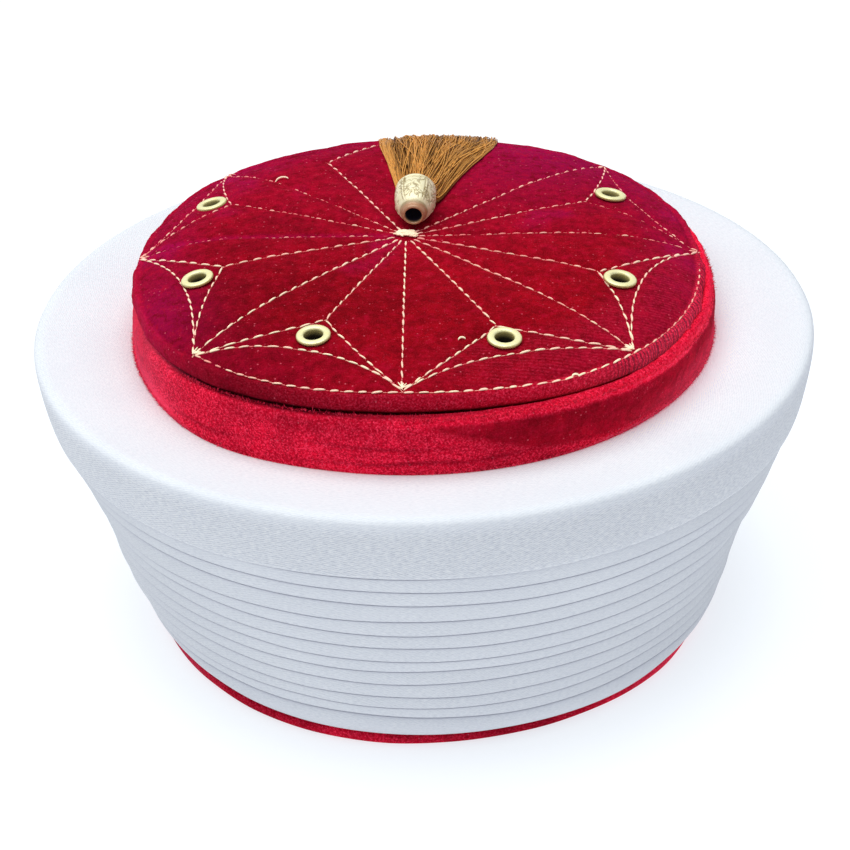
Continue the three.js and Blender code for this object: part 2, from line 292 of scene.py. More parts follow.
def ring_piece(name, shape, material, replaces, slot, marks, inside_out=False):
    """A piece from a grid of points closed both ways round."""
    faces = grid_faces(*shape.shape[:2], True, True)
    return piece(name, shape.reshape(-1, 3), faces[:, ::-1] if inside_out else faces, material,
                 replaces, slot, marks=spread(marks, shape))


def tubes(name, cores, thickness, sides, sideways, material, marks, **more):
    """Thin closed tubes, each along a line of the same number of points; marks has a value a tube.
    Every ring of a tube starts square to its line and to the direction sideways."""
    count, steps = cores.shape[:2]
    along = unit(np.gradient(cores, axis=1))
    across = unit(np.cross(along, sideways))
    lift = np.cross(across, along)
    angle = bearings(sides)[:, None]
    ring = across[:, :, None] * np.cos(angle) + lift[:, :, None] * np.sin(angle)
    points = cores[:, :, None] + ring * thickness[..., None, None]
    each = steps * sides
    ends = np.array([range(sides)[::-1], range(each - sides, each)])
    piece(name, points.reshape(-1, 3), repeated(grid_faces(steps, sides, False, True), count, each),
          material, triangles=repeated(ends, count, each),
          marks={mark: np.repeat(values, each) for mark, values in marks.items()}, **more)


def lengths_along(line):
    """Length from a line's start to each of its points."""
    return np.concatenate([[0], np.cumsum(np.linalg.norm(np.diff(line, axis=0), axis=1))])


def at_lengths(line, lengths):
    """Points at given lengths along a line of any dimension."""
    along = lengths_along(line)
    return np.stack([np.interp(lengths, along, values) for values in line.T], axis=1)


def smooth_line(points, count, closed=True):
    """Evenly spaced points along a line whose corners are cut twice: each cut keeps the middle
    half of every side."""
    line = np.array(points, float)
    for _ in range(2):
        after = np.roll(line, -1, axis=0) if closed else line[1:]
        before = line if closed else line[:-1]
        cut = np.stack([0.75 * before + 0.25 * after, 0.25 * before + 0.75 * after], axis=1)
        cut = cut.reshape(-1, line.shape[1])
        line = cut if closed else np.concatenate([line[:1], cut[1:-1], line[-1:]])
    if closed:
        line = np.concatenate([line, line[:1]])
    length = lengths_along(line)[-1]
    return at_lengths(line, np.linspace(0, length, count, endpoint=not closed))


def polar(radius, degrees):
    angle = np.radians(degrees)
    return np.stack([radius * np.cos(angle), radius * np.sin(angle)], axis=-1)


def bearings(count):
    """Angles spaced evenly all the way round, from +X."""
    return np.linspace(0, TURN, count, endpoint=False)


def unit(vectors):
    return vectors / np.linalg.norm(vectors, axis=-1, keepdims=True)


def left_of(vector):
    """The unit vector square to a plan vector, on its left."""
    return unit(np.array([-vector[1], vector[0]]))


def smoothstep(value, low, high):
    share = np.clip((value - low) / (high - low), 0, 1)
    return share * share * (3 - 2 * share)


def bell(value, middle, width):
    """A smooth bump of height 1 that falls to a third a width away from its middle."""
    return np.exp(-((value - middle) / width) ** 2)


def bells(value, *rows):
    """A sum of bells, each given by its size, middle and width."""
    return sum(size * bell(value, middle, width) for size, middle, width in rows)


def from_angle(degrees, middle):
    """Degrees from a direction, from -180 to 180."""
    return (degrees - middle + 180) % 360 - 180


def lobe(degrees, middle, width):
    """A bell about a bearing."""
    return bell(from_angle(degrees, middle), 0, width)


def near_bearing(degrees, middle, far, near):
    """1 within near degrees of a bearing, falling to 0 at far."""
    return smoothstep(np.abs(from_angle(degrees, middle)), far, near)


def ripple(angle, waves, seed):
    """An uneven line round the cap: sine waves of given counts and sizes, each at its own phase."""
    phases = np.random.default_rng(seed).uniform(0, TURN, len(waves))
    return sum(size * np.sin(count * angle + phase) for (count, size), phase in zip(waves, phases))


def in_cell(corner, across, up):
    """Blends a cell's corner values, corner(row, column), by the place across and up in it."""
    low = corner(0, 0) * (1 - across) + corner(0, 1) * across
    high = corner(1, 0) * (1 - across) + corner(1, 1) * across
    return low * (1 - up) + high * up


def unevenness(x, y, cell, seed):
    """Smooth values from -1 to 1: random heights on square cells, blended by smoothstep between
    corners. The cells repeat after 64 each way."""
    heights = np.random.default_rng(seed).uniform(-1, 1, (64, 64))
    column, row = np.floor(x / cell).astype(int), np.floor(y / cell).astype(int)
    return in_cell(lambda i, j: heights[(row + i) % 64, (column + j) % 64],
                   smoothstep(x / cell - column, 0, 1), smoothstep(y / cell - row, 0, 1))


def round_axis(radius, height, angle):
    """Points about the Z axis."""
    return np.stack([radius * np.cos(angle), radius * np.sin(angle), height + 0 * angle], axis=-1)


def turned(section, columns):
    """A section of radius and height points carried round the Z axis, a row for each point."""
    return round_axis(section[:, 0, None], section[:, 1, None], bearings(columns))


def push_out(shape, push):
    """Moves the points of a shape away from the Z axis, where they are."""
    radial = np.hypot(shape[..., 0], shape[..., 1])
    shape[..., :2] *= ((radial + push) / radial)[..., None]


def settle(points):
    """Carries points of the round, level shape to the oval, waving cap.

    The radius changes by -oval cos 2a, growing with height up to the shelf, and by -square cos 4a,
    growing from there to the lip. A bulge stands out about the shelf. The wave lifts the edge by
    -wave cos 2a. All fade out from the cap's wall to the round rim.
    """
    x, y, z = points[..., 0], points[..., 1], points[..., 2]
    radius, angle = np.hypot(x, y), np.arctan2(y, x)
    reach = np.minimum(radius / PANEL_RADIUS, 1)
    fade = np.clip((RIM_RADIUS - radius) / (RIM_RADIUS - SHELF_RADIUS), 0, 1)
    grown = np.clip(z / SHELF_HEIGHT, 0, 1)
    above = np.clip((z - SHELF_HEIGHT) / (SEAT_HEIGHT - SHELF_HEIGHT), 0, 1)
    plan = -OVAL * grown * np.cos(2 * angle) - SQUARE * above * np.cos(4 * angle)
    out, bearing, spread_degrees = BULGE
    bulging = lobe(np.degrees(angle), bearing, spread_degrees)
    plan += out * bulging * bell(z, SHELF_HEIGHT, 7)
    moved = radius + plan * reach * fade
    lower = WAVE * np.cos(2 * angle) * reach ** DOME_POWER * fade * above
    return round_axis(moved, z - lower, angle)


# ---------------------------------------------------------------- materials

class Paint:
    """A new node material. Its methods add nodes and give back their outputs."""

    def __init__(self, name, **sockets):
        self.material = bpy.data.materials.new(name)
        self.material.use_nodes = True
        self.tree = self.material.node_tree
        self.shader = self.tree.nodes["Principled BSDF"]
        self.place = self.node("ShaderNodeTexCoord").outputs["Object"]
        self.set(**sockets)

    def plug(self, socket, value):
        """Links an output to a socket, or sets a number, vector or colour on it."""
        if isinstance(value, bpy.types.NodeSocket):
            self.tree.links.new(value, socket)
        else:
            socket.default_value = (*value, 1.0) if socket.type == "RGBA" else value

    def set(self, **sockets):
        """Plugs values into the shader, whose sockets are written with _ for a space."""
        for key, value in sockets.items():
            self.plug(self.shader.inputs[key.replace("_", " ")], value)

    def node(self, kind, settings=None, **sockets):
        """Adds a node. A socket's name is written with _ for a space, or as i and its number."""
        made = self.tree.nodes.new(kind)
        for key, value in (settings or {}).items():
            setattr(made, key, value)
        for key, value in sockets.items():
            numbered = key[0] == "i" and key[1:].isdigit()
            self.plug(made.inputs[int(key[1:]) if numbered else key.replace("_", " ")], value)
        return made

    def mark(self, name, output="Fac"):
        """A named value on the mesh's points."""
        return self.node("ShaderNodeAttribute", {"attribute_name": name}).outputs[output]

    def noise(self, size, detail, rough, place=None):
        """Cloudy noise whose clumps are about size millimetres across."""
        return self.node("ShaderNodeTexNoise", Vector=place or self.place, Scale=1 / (size * MM),
                         Detail=detail, Roughness=rough).outputs["Fac"]

    def span(self, value, low, high, to_low=0.0, to_high=1.0):
        """Maps low..high to to_low..to_high, held at both ends."""
        return self.node("ShaderNodeMapRange", {"clamp": True}, Value=value, From_Min=low,
                         From_Max=high, To_Min=to_low, To_Max=to_high).outputs[0]

    def math(self, kind, a, b=0.0, c=0.0):
        return self.node("ShaderNodeMath", {"operation": kind}, i0=a, i1=b, i2=c).outputs[0]

    def times(self, first, *others):
        """The product of all that is given."""
        for other in others:
            first = self.math("MULTIPLY", first, other)
        return first

    def blend(self, share, a, b, kind="MIX"):
        """Mixes colour b over colour a by share."""
        return self.node("ShaderNodeMix", {"data_type": "RGBA", "blend_type": kind},
                         i0=share, i6=a, i7=b).outputs[2]

    def layers(self, colour, *rows):
        """Lays colours over a first one. Each row is the share that it covers, and its colour."""
        for share, over in rows:
            colour = self.blend(share, colour, over)
        return colour

    def scaled(self, colour, value):
        """A colour multiplied by a value."""
        grey = self.node("ShaderNodeCombineColor", Red=value, Green=value, Blue=value).outputs[0]
        return self.blend(1.0, colour, grey, "MULTIPLY")

    def mapped(self, place, **sockets):
        return self.node("ShaderNodeMapping", Vector=place, **sockets).outputs[0]

    def waves(self, place, scale, distortion, detail_scale, rough):
        """Uneven bands across Y."""
        return self.node("ShaderNodeTexWave", {"bands_direction": "Y"}, Vector=place, Scale=scale,
                         Distortion=distortion, Detail=2.0, Detail_Scale=detail_scale,
                         Detail_Roughness=rough).outputs["Fac"]

    def flecks(self, apart, size, sparse):
        """Small round spots: one at the middle of each cell, in the share of cells above sparse."""
        cells = self.node("ShaderNodeTexVoronoi", Vector=self.place, Scale=1 / (apart * MM))
        chosen = self.node("ShaderNodeSeparateColor", i0=cells.outputs["Color"]).outputs[0]
        spot = self.span(cells.outputs["Distance"], size * 0.75, size * 1.25, 1.0, 0.0)
        return self.times(spot, self.span(chosen, sparse, sparse + 0.02))

    def raise_by(self, height, depth, strength=1.0):
        """Bump: height is 0 to 1, and depth its size in millimetres."""
        bump = self.node("ShaderNodeBump", Height=height, Distance=depth * MM, Strength=strength)
        self.set(Normal=bump.outputs[0])

    def shine(self, colour, strength):
        """Light given off, too weak to be worth sampling as a lamp."""
        self.set(Emission_Color=colour, Emission_Strength=strength)
        self.material.cycles.emission_sampling = "NONE"


def floor_white():
    """Pale floor, lit a little from within so that it stays white, but not in the cap's hollow,
    which is left dark as painted shade; its light is also weaker close round the cap, a painted
    contact shadow.
    """
    paint = Paint("floor_white", Base_Color=(0.30, 0.30, 0.30), Roughness=0.9,
                  Specular_IOR_Level=0.0, Emission_Color=(0.70, 0.735, 0.775))
    apart = paint.node("ShaderNodeVectorMath", {"operation": "LENGTH"}, i0=paint.place)
    apart = apart.outputs["Value"]
    # Painted shade: no light from the floor under the cap, and less close round it, a painted
    # contact shadow
    paint.set(Emission_Strength=paint.times(paint.span(apart, 0.088, 0.092),
                                            paint.span(apart, 0.104, 0.130, 1.0, 1.13)))
    return paint.material


def velvet():
    """Silk-like pile, deep red where it lies smooth and bright and grainy where it is ruffled, the
    brightness there partly a painted sheen, with patches, lint and fine scratches.

    Marks on the points say where: ruffle, glow (painted light and shade that brighten or darken the
    colour, with some random tone), magenta (patches, and painted sheen towards the back and the
    rim), shade (painted shade in grooves and slits), rows (the pile's woven rows show), comb
    (strokes across the sewn edge, whose place along it is the mark around) and bloom (painted
    sheen: pale light given off by the tips of the pile, though they are no lamp).
    """
    paint = Paint("velvet", Roughness=0.9, Specular_IOR_Level=0.02, Sheen_Weight=0.05,
                  Sheen_Roughness=0.45, Sheen_Tint=(1.0, 0.10, 0.25))
    mark, noise, span, times = paint.mark, paint.noise, paint.span, paint.times
    fibre, tuft, clump = noise(0.36, 2.0, 0.7), noise(0.62, 3.0, 0.75), noise(0.95, 3.0, 0.70)
    patchy, cloud = noise(3.2, 4.0, 0.72), noise(7, 6.0, 0.70)
    ruffle = mark("ruffle")
    smooth = paint.layers(
        (0.185, 0.0004, 0.0012),
        (span(cloud, 0.38, 0.62), (0.335, 0.0009, 0.0045)),
        # the mark magenta: colour patches, and painted sheen towards the back and the rim
        (mark("magenta_and_painted_sheen"), (0.295, 0.0012, 0.060)),
        (span(patchy, 0.36, 0.50, 0.74, 0.0), (0.125, 0.0006, 0.0018)),
        (span(patchy, 0.53, 0.66, 0.0, 0.70), (0.41, 0.0022, 0.022)),
        (span(clump, 0.30, 0.52, 0.40, 0.0), (0.12, 0.0008, 0.0030)),
        (span(fibre, 0.42, 0.70, 0.0, 0.40), (0.54, 0.010, 0.032)),
    )
    # Ruffled pile: grainy, and its brightness partly a painted sheen
    rough = paint.layers(
        (0.33, 0.0010, 0.010),
        (span(clump, 0.36, 0.60), (0.60, 0.004, 0.026)),
        (span(patchy, 0.34, 0.50, 0.45, 0.0), (0.34, 0.0010, 0.012)),
        (span(tuft, 0.48, 0.68), (0.95, 0.042, 0.105)),
    )
    brushed = paint.mapped(paint.place, Rotation=(0.0, 0.0, 0.7), Scale=(0.12, 1.0, 1.0))
    lint = paint.flecks(1.8, 0.15, 0.74)
    dust = times(paint.flecks(0.85, 0.22, 0.45), span(cloud, 0.44, 0.58))
    scratch = times(span(noise(0.8, 2.0, 0.6, brushed), 0.66, 0.72), span(cloud, 0.50, 0.62))
    weft = paint.waves(paint.place, 224.0, 3.0, 1.5, 0.7)
    weft = times(weft, span(clump, 0.40, 0.62), mark("rows"))
    stroke = paint.math("MULTIPLY_ADD", clump, 8.0, times(mark("around"), TURN / COMB_SPACING))
    stroke = span(paint.math("SINE", stroke), 0.2, 0.8)
    stroke = times(stroke, mark("comb"), span(patchy, 0.32, 0.50))
    # Painted light and shade: the mark glow brightens or darkens the colour, with some random tone
    colour = paint.scaled(paint.blend(ruffle, smooth, rough), paint.math("ADD", mark("painted_light_and_tone"), 1.0))
    colour = paint.layers(
        colour,
        (times(lint, 0.62), (0.70, 0.11, 0.16)),
        (times(dust, 0.45), (0.58, 0.045, 0.085)),
        (times(scratch, 0.30), (0.62, 0.06, 0.10)),
        (times(weft, 0.62), (0.70, 0.022, 0.068)),
        (times(stroke, 0.85), (0.09, 0.0006, 0.006)),
        # painted shade, near black, where the mark shade says: grooves and slits
        (times(mark("shade"), span(tuft, 0.32, 0.50, 0.45, 1.0)), (0.040, 0.0002, 0.003)),
    )
    paint.set(Base_Color=colour)
    # Painted sheen: where the mark bloom says, the pile gives off pale light, though it is no lamp
    painted_sheen = times(mark("painted_sheen"), span(tuft, 0.30, 0.62, 0.45, 1.35))
    paint.shine(paint.blend(painted_sheen, (0.0, 0.0, 0.0), (0.34, 0.042, 0.088)), 1.0)
    height = paint.math("MULTIPLY_ADD", clump, paint.math("MULTIPLY_ADD", ruffle, 0.35, 0.25),
                        times(fibre, 0.35))
    height = paint.math("MULTIPLY_ADD", times(tuft, ruffle), 0.8, height)
    height = paint.math("ADD", height, times(weft, 0.5))
    paint.raise_by(paint.math("SUBTRACT", height, times(stroke, 1.0)), 0.5, 0.9)
    return paint.material


def white_twill():
    """Fine twill: short bright floats of yarn along the cloth, crossed by slanting wales, with
    painted shade in the creases under each lap (mark crease). The mark raised says how strongly the
    yarns stand out, and tone scales the colour with painted light and shade: darker down the band
    and on the folds away from the front, darker beside the cap's wall at the left and lighter
    beside it at the right."""
    paint = Paint("white_twill", Roughness=0.9, Specular_IOR_Level=0.12, Sheen_Weight=0.05,
                  Sheen_Roughness=0.5)
    span = paint.span
    weave, raised = paint.mark("weave", "Vector"), paint.mark("raised")
    stretched = paint.mapped(weave, Scale=(0.55, 2.3, 1.0))
    slanted = paint.mapped(weave, Rotation=(0.0, 0.0, math.radians(-24)))
    floats = paint.noise(1 / MM, 2.0, 0.65, stretched)       # weave is in mm
    wales = paint.waves(slanted, 0.42, 2.0, 1.6, 0.6)
    soil = paint.noise(26, 3.0, 0.5)
    yarn = paint.math("MULTIPLY_ADD", wales, 0.4, span(floats, 0.36, 0.64, 0.0, 0.6))
    ridges = paint.times(paint.math("SUBTRACT", yarn, 0.5), raised)
    colour = paint.layers(
        (0.815, 0.838, 0.884),
        (span(soil, 0.35, 0.7), (0.790, 0.814, 0.866)),
        (span(ridges, 0.0, -0.45, 0.0, 0.75), (0.56, 0.58, 0.65)),
        (span(ridges, 0.0, 0.45, 0.0, 0.75), (1.0, 1.0, 1.0)),
    )
    # Painted light and shade: the mark tone scales the colour
    colour = paint.scaled(colour, paint.mark("tone"))
    # Painted shade in the creases, where the mark crease says
    paint.set(Base_Color=paint.blend(paint.mark("crease"), colour, (0.50, 0.51, 0.59)))
    paint.raise_by(paint.times(yarn, span(raised, 0.0, 0.3)), 0.12, 0.7)
    return paint.material


def stitch_thread():
    """Twisted cream thread, pinker towards the back and where it dips into the pile (mark dip),
    bare cream where it is heaped up (mark heap), and a little painted light of its own, given off
    though it is no lamp, for the light that passes through it."""
    paint = Paint("stitch_thread", Roughness=0.6, Specular_IOR_Level=0.2, Sheen_Weight=0.1,
                  Sheen_Roughness=0.4)
    ply, fade = paint.noise(0.45, 2.0, 0.6), paint.noise(16, 2.0, 0.5)
    back = paint.node("ShaderNodeSeparateXYZ", Vector=paint.place).outputs["Y"]
    colour = paint.layers(
        (1.0, 0.88, 0.60),
        (paint.span(fade, 0.42, 0.60), (1.0, 0.66, 0.50)),
        (paint.times(paint.span(back, -0.05, 0.04), 0.55), (1.0, 0.50, 0.46)),
        (paint.mark("dip"), (0.80, 0.10, 0.13)),
        (paint.mark("heap"), (1.0, 0.90, 0.62)),
        (paint.span(ply, 0.3, 0.48, 0.22, 0.0), (0.80, 0.42, 0.28)),
    )
    paint.set(Base_Color=colour)
    # Painted light: the thread gives off a little light of its own
    paint.shine(colour, 0.16)
    paint.raise_by(ply, 0.08)
    return paint.material


def pale_brass():
    """Worn pale brass, darker round its edges (mark edge), and painted near black down the hole as
    shade (mark hollow).
    """
    paint = Paint("pale_brass", Metallic=0.2)
    wear, hollow = paint.noise(1.4, 3.0, 0.6), paint.mark("hollow")
    colour = paint.layers(
        (1.0, 0.94, 0.54),
        (paint.span(wear, 0.4, 0.7), (0.97, 0.88, 0.42)),
        (paint.mark("edge"), (0.40, 0.30, 0.07)),
        # painted shade, near black, down the hole
        (hollow, (0.022, 0.014, 0.004)),
    )
    worn = paint.span(wear, 0.3, 0.75, 0.28, 0.46)
    paint.set(Base_Color=colour, Roughness=paint.math("MULTIPLY_ADD", hollow, 0.5, worn))
    paint.raise_by(wear, 0.03)
    return paint.material


def cast_gold():
    """Pale cast gold, with olive in the engraved lines (mark hollow), coppery at the mouth and a
    painted reflection of the red cap down its right side (mark copper), painted shade dark inside
    (mark bore), and a little painted light of its own that lifts its shaded side."""
    paint = Paint("cast_gold", Metallic=0.1, Roughness=0.34, Specular_IOR_Level=0.5)
    wear = paint.noise(0.9, 3.0, 0.6)
    colour = paint.layers(
        (0.93, 0.86, 0.60),
        (paint.span(wear, 0.35, 0.7), (0.84, 0.74, 0.44)),
        # coppery at the mouth, and a painted reflection of the red cap down the right side
        (paint.mark("copper_and_painted_reflection"), (0.44, 0.21, 0.11)),
        (paint.mark("hollow"), (0.30, 0.21, 0.08)),
        # painted shade inside the bore
        (paint.mark("bore"), (0.018, 0.012, 0.022)),
    )
    paint.set(Base_Color=colour)
    # Painted light: a little light given off, lifting the shaded side
    paint.shine(colour, 0.06)
    paint.raise_by(wear, 0.06)
    return paint.material


def tassel_thread():
    """Lustrous thread, golden brown; each thread is given its own lightness by the mark strand:
    partly its own tone, partly painted light on threads lying on top and at the edges, and painted
    shade to the right. Darker in its twist.
    """
    paint = Paint("tassel_thread", Roughness=0.45, Specular_IOR_Level=0.18, Sheen_Weight=0.06,
                  Sheen_Roughness=0.4, Sheen_Tint=(1.0, 0.6, 0.2))
    colour = paint.layers(
        (0.165, 0.060, 0.009),
        # the mark strand: each thread's own tone, with painted light and shade
        (paint.mark("strand_tone_and_painted_light"), (0.80, 0.375, 0.085)),
        (paint.span(paint.noise(0.6, 2.0, 0.6), 0.3, 0.5, 0.4, 0.0), (0.18, 0.065, 0.008)),
    )
    paint.set(Base_Color=colour)
    return paint.material


# ---------------------------------------------------------------- velvet cap

def side_radius(height):
    """Outer face of the flared wall between its hem and the shelf."""
    share = (height - HEM_HEIGHT) / (SHELF_HEIGHT - HEM_HEIGHT)
    return FOOT_RADIUS + share * (SHELF_RADIUS - FOOT_RADIUS)


def hollow_radius(height):
    """Inner face of the wall."""
    return HEAD_RADIUS + height / SEAT_HEIGHT * (SEAT_INNER_RADIUS - HEAD_RADIUS)


def side_section():
    """Closed section of the side wall: rolled hem, flared wall, rolled lip and straight inside."""
    hem = smooth_line([
        (hollow_radius(3), 3), (HEAD_RADIUS + 0.1, 0.6), (HEAD_RADIUS + 1, 0),
        (HEM_RADIUS - 1.3, 0), (HEM_RADIUS - 0.1, 0.7), (HEM_RADIUS + 0.15, 2.3),
        (HEM_RADIUS - 0.4, 4.1), (FOOT_RADIUS + 0.3, 4.7), (side_radius(8), 8),
    ], 32, closed=False)
    wall = [(side_radius(z), z) for z in (37, 70, 95, 99)]
    lip = smooth_line([
        (side_radius(101), 101), (SHELF_RADIUS, SHELF_HEIGHT), (SHELF_RADIUS + 0.75, 107),
        (LIP_RADIUS - 0.5, 111), (LIP_RADIUS - 0.05, 115), (LIP_RADIUS, 117.2),
        (LIP_RADIUS - 0.45, 119.6), (LIP_RADIUS - 1.8, SEAT_HEIGHT + 0.2),
        (LIP_RADIUS - 3.3, SEAT_HEIGHT), (SEAT_INNER_RADIUS + 0.8, SEAT_HEIGHT - 0.3),
        (SEAT_INNER_RADIUS, SEAT_HEIGHT - 1.4), (hollow_radius(112), 112),
    ], 88, closed=False)
    inside = [(hollow_radius(z), z) for z in (95, 70, 37, 12)]
    return np.concatenate([hem, wall, lip, inside])


def slit_depth(degrees, least, left_end):
    """How much painted shade darkens the slit between wall and panel, by bearing: most in front and
    to the left.
    """
    depth = least + (0.65 - least) * smoothstep(degrees, -60, -85)
    depth = depth + 0.35 * smoothstep(degrees, -96, -112)
    return depth * smoothstep(degrees, left_end, -138) * smoothstep(degrees, -20, -60)


def cap_side(material):
    """Side wall: the section above carried round. Its outer face is moved along its radius by slow
    dents, by soft creases low on the front and by the pile's clumps; the marks paint the pile, with
    painted light and shade on it: brighter and darker by bearing and height, painted shade in the
    creases and the slit under the panel, and a painted sheen given off as light."""
    columns = 600
    shape = turned(side_section(), columns)
    angle = bearings(columns)
    # The bearings run on from the back: -270 there, then -180 at the left, -90 in front, 0 right.
    degrees = from_angle(np.degrees(angle), -90)[None, :] - 90
    height, radial = shape[..., 2].copy(), np.hypot(shape[..., 0], shape[..., 1])
    outside = smoothstep(radial - hollow_radius(height), 0.8, 2.4)
    hem = smoothstep(height, 6, 4.5) * outside
    right_end, left_end = smoothstep(degrees, 84, 50), smoothstep(degrees, -218, -190)
    along = degrees * WALL_MM_PER_DEGREE + 500
    off_back = smoothstep(np.abs(degrees + 90), 180, 170)

    # The wall's form
    dent = ripple(angle, [(3, 0.16), (7, 0.20), (13, 0.14), (23, 0.10)], 3)
    fold_line = ripple(angle, [(5, 0.8), (11, 0.5), (19, 0.3)], 5)
    slanting = 108.5 + 0.09 * (degrees + 135) + fold_line
    crease = -(0.40 * bell(height, 112.2 + fold_line, 0.7) * bell(degrees, -98, 13)
               + 0.45 * bell(height, 107.2 - fold_line, 0.8) * bell(degrees, -92, 22)
               + 0.40 * bell(height, slanting, 0.9) * bell(degrees, -135, 13))
    clumps = 0.10 * unevenness(along, height + 9, 1.5, 23) * off_back
    tuck = -(lobe(degrees, 180, 30) * smoothstep(height, 108, 118)
             + 0.5 * bell(degrees, 2, 24) * smoothstep(height, 104, 112)
             + 0.4 * bell(degrees, -35, 20))
    hem_swell = bells(degrees, (0.5, -112, 25), (-0.8, -150, 20), (-0.7, -75, 22), (0.8, -36, 14))
    lip_waves = ripple(angle, [(37, 0.10), (61, 0.12), (97, 0.12), (151, 0.08)], 7)
    push_out(shape, smoothstep(height, 101, 106) * outside * (dent + crease + clumps + tuck)
             + outside * bell(height, 119.6, 1.6) * lip_waves + hem * (hem_swell + 0.5 * dent))
    nestle = 0.55 * smoothstep(degrees, -150, -130) + 0.75 * smoothstep(degrees, -92, -62)
    nestle += 1.3 * smoothstep(degrees, -58, -30)
    at_lip = smoothstep(height, 118.6, 120.8) * smoothstep(radial, 94.6, 96.2)
    shape[..., 2] += nestle * right_end * at_lip

    # Ruffled and smooth pile
    height = shape[..., 2]
    blotch = 0.6 * unevenness(along, height + 9, 8, 21)
    blotch = (blotch + 0.4 * unevenness(along, height + 9, 3, 22)) * off_back
    woolly_below = np.interp(degrees, [-95, -88, -70, -55, -30], [125, 118, 110, 107, 104])
    woolly = smoothstep(woolly_below - height + 1.5 * blotch, -1, 2.5)
    woolly = woolly * smoothstep(degrees, -160, -146) * right_end
    edge = smoothstep(height, 118.0, 119.8)
    edge = edge * smoothstep(degrees, -100, -84) * smoothstep(degrees, 40, 10)
    right_lip = bell(height, 120.4, 1.2) * smoothstep(degrees, -84, -50)
    right_lip = right_lip * smoothstep(degrees, 70, 40)
    some = 0.12 + 0.35 * smoothstep(blotch, 0.25, 0.6)
    ruffle = np.clip(np.maximum(np.maximum(woolly, some), 0.8 * edge), 0, 1)
    ruffle = np.maximum(ruffle, 0.9 * right_lip) - 0.35 * hem

    # Painted light and shade on the pile: brighter and darker by bearing and height, darker in the
    # creases, near the lip's top in front, at the foot and at the hem, brighter along the lip, with
    # random tone from the blotches; then painted sheen given off as light, and painted shade in the
    # slit
    left = smoothstep(degrees, -95, -112) * left_end
    far_left = smoothstep(degrees, -134, -158) * left_end
    right = smoothstep(degrees, -64, -26) * right_end
    foot = smoothstep(height, 116, 105)
    painted_light_and_tone = 0.16 + 0.22 * left + 0.28 * smoothstep(degrees, -148, -166) * left_end
    painted_light_and_tone = painted_light_and_tone + bells(degrees, (0.22, -93, 13), (-0.16, -68, 12))
    painted_light_and_tone = painted_light_and_tone - 0.30 * blotch + 0.55 * edge + 0.15 * crease * (1 - left) + 0.75 * right_lip
    painted_light_and_tone += 0.22 * bell(degrees, -62, 9) * (height < 112)
    painted_light_and_tone -= 0.14 * bell(degrees, -14, 12) * (height < 118)
    painted_light_and_tone += (0.28 + 0.56 * foot) * right
    painted_light_and_tone += foot * bells(degrees, (0.28, -54, 10), (0.30, -105, 9), (0.14, -86, 9))
    painted_light_and_tone += 0.55 * bell(height, SHELF_HEIGHT, 4.5) * smoothstep(degrees, -122, -150) * left_end
    painted_light_and_tone -= 0.36 * bell(height, 118.8, 2.4) * bell(degrees, -113, 15)
    painted_light_and_tone -= 0.45 * bell(height, 119.2, 1.2) * bell(degrees, -66, 9)
    painted_light_and_tone -= 0.10 * bell(height, SHELF_HEIGHT + 0.3, 1.1) * outside + 0.34 * hem
    # Painted sheen, given off as light: at the far left, on the right foot and on the right lip
    painted_sheen = far_left * (0.58 + 0.75 * bell(height, SHELF_HEIGHT + 1, 6))
    painted_sheen = painted_sheen + 0.40 * smoothstep(degrees, -58, -28) * right_end * foot
    painted_sheen = (painted_sheen + 0.75 * right_lip * smoothstep(degrees, -52, -22)) * outside
    # painted sheen inside the slit under the panel, lightening its shade
    in_slit = smoothstep(height, 118.4, 120.2) * (1 - outside)
    painted_sheen += 0.55 * in_slit * smoothstep(degrees, -74, -48) * smoothstep(degrees, 30, 0)
    # Painted shade in the slit under the panel; with the creases it makes the mark shade
    groove = smoothstep(height, 119.9, 121.0)
    groove = groove * smoothstep(radial, LIP_RADIUS - 0.9, LIP_RADIUS - 2.0)
    groove = groove * slit_depth(degrees, 0.15, -148)
    ring_piece("velvet_side", settle(shape), material, "cap_side", "velvet", {
        "ruffle": ruffle, "painted_light_and_tone": painted_light_and_tone, "painted_sheen": painted_sheen,
        "magenta_and_painted_sheen": 0.10 + 0.12 * smoothstep(degrees, -60, 0) * right_end,
        "shade": np.clip(groove * outside - 0.9 * crease, 0, 1),
    })


# Stitch lines on the top, as polylines in plan about the middle of the panel

def bowed(start, end, off):
    """A shallow arc between two plan points: a parabola whose middle stands off to the left."""
    share = np.linspace(0, 1, 25)[:, None]
    return start + share * (end - start) + 4 * share * (1 - share) * off * left_of(end - start)


def star_lines():
    """The five lines of each kite, in the order of STAR_PARTS: the bow that closes it outside its
    eyelet, its left and right side, and the rays from the knot to its corner and to its tip."""
    tips = [polar(radius, degrees) for degrees, radius in STAR_TIPS]
    knot = np.array(KNOT)
    lines = []
    for index, ((turn, reach), (bow_turn, bow_reach)) in enumerate(zip(STAR_CORNERS, STAR_BOWS)):
        start, end, corner = tips[index], tips[(index + 1) % len(tips)], polar(reach, turn)
        off = float((polar(bow_reach, bow_turn) - (start + end) / 2) @ left_of(end - start))
        lines += [bowed(start, end, off), bowed(start, corner, KITE_BOW),
                  bowed(corner, end, KITE_BOW)]
        lines += [bowed(knot + KNOT_CLEAR * unit(far - knot), far, 0.0) for far in (corner, start)]
    return lines


def edge_line():
    degrees = np.linspace(EDGE_SEAM[0, 0], EDGE_SEAM[-1, 0], 181)
    return polar(np.interp(degrees, *EDGE_SEAM.T), degrees)


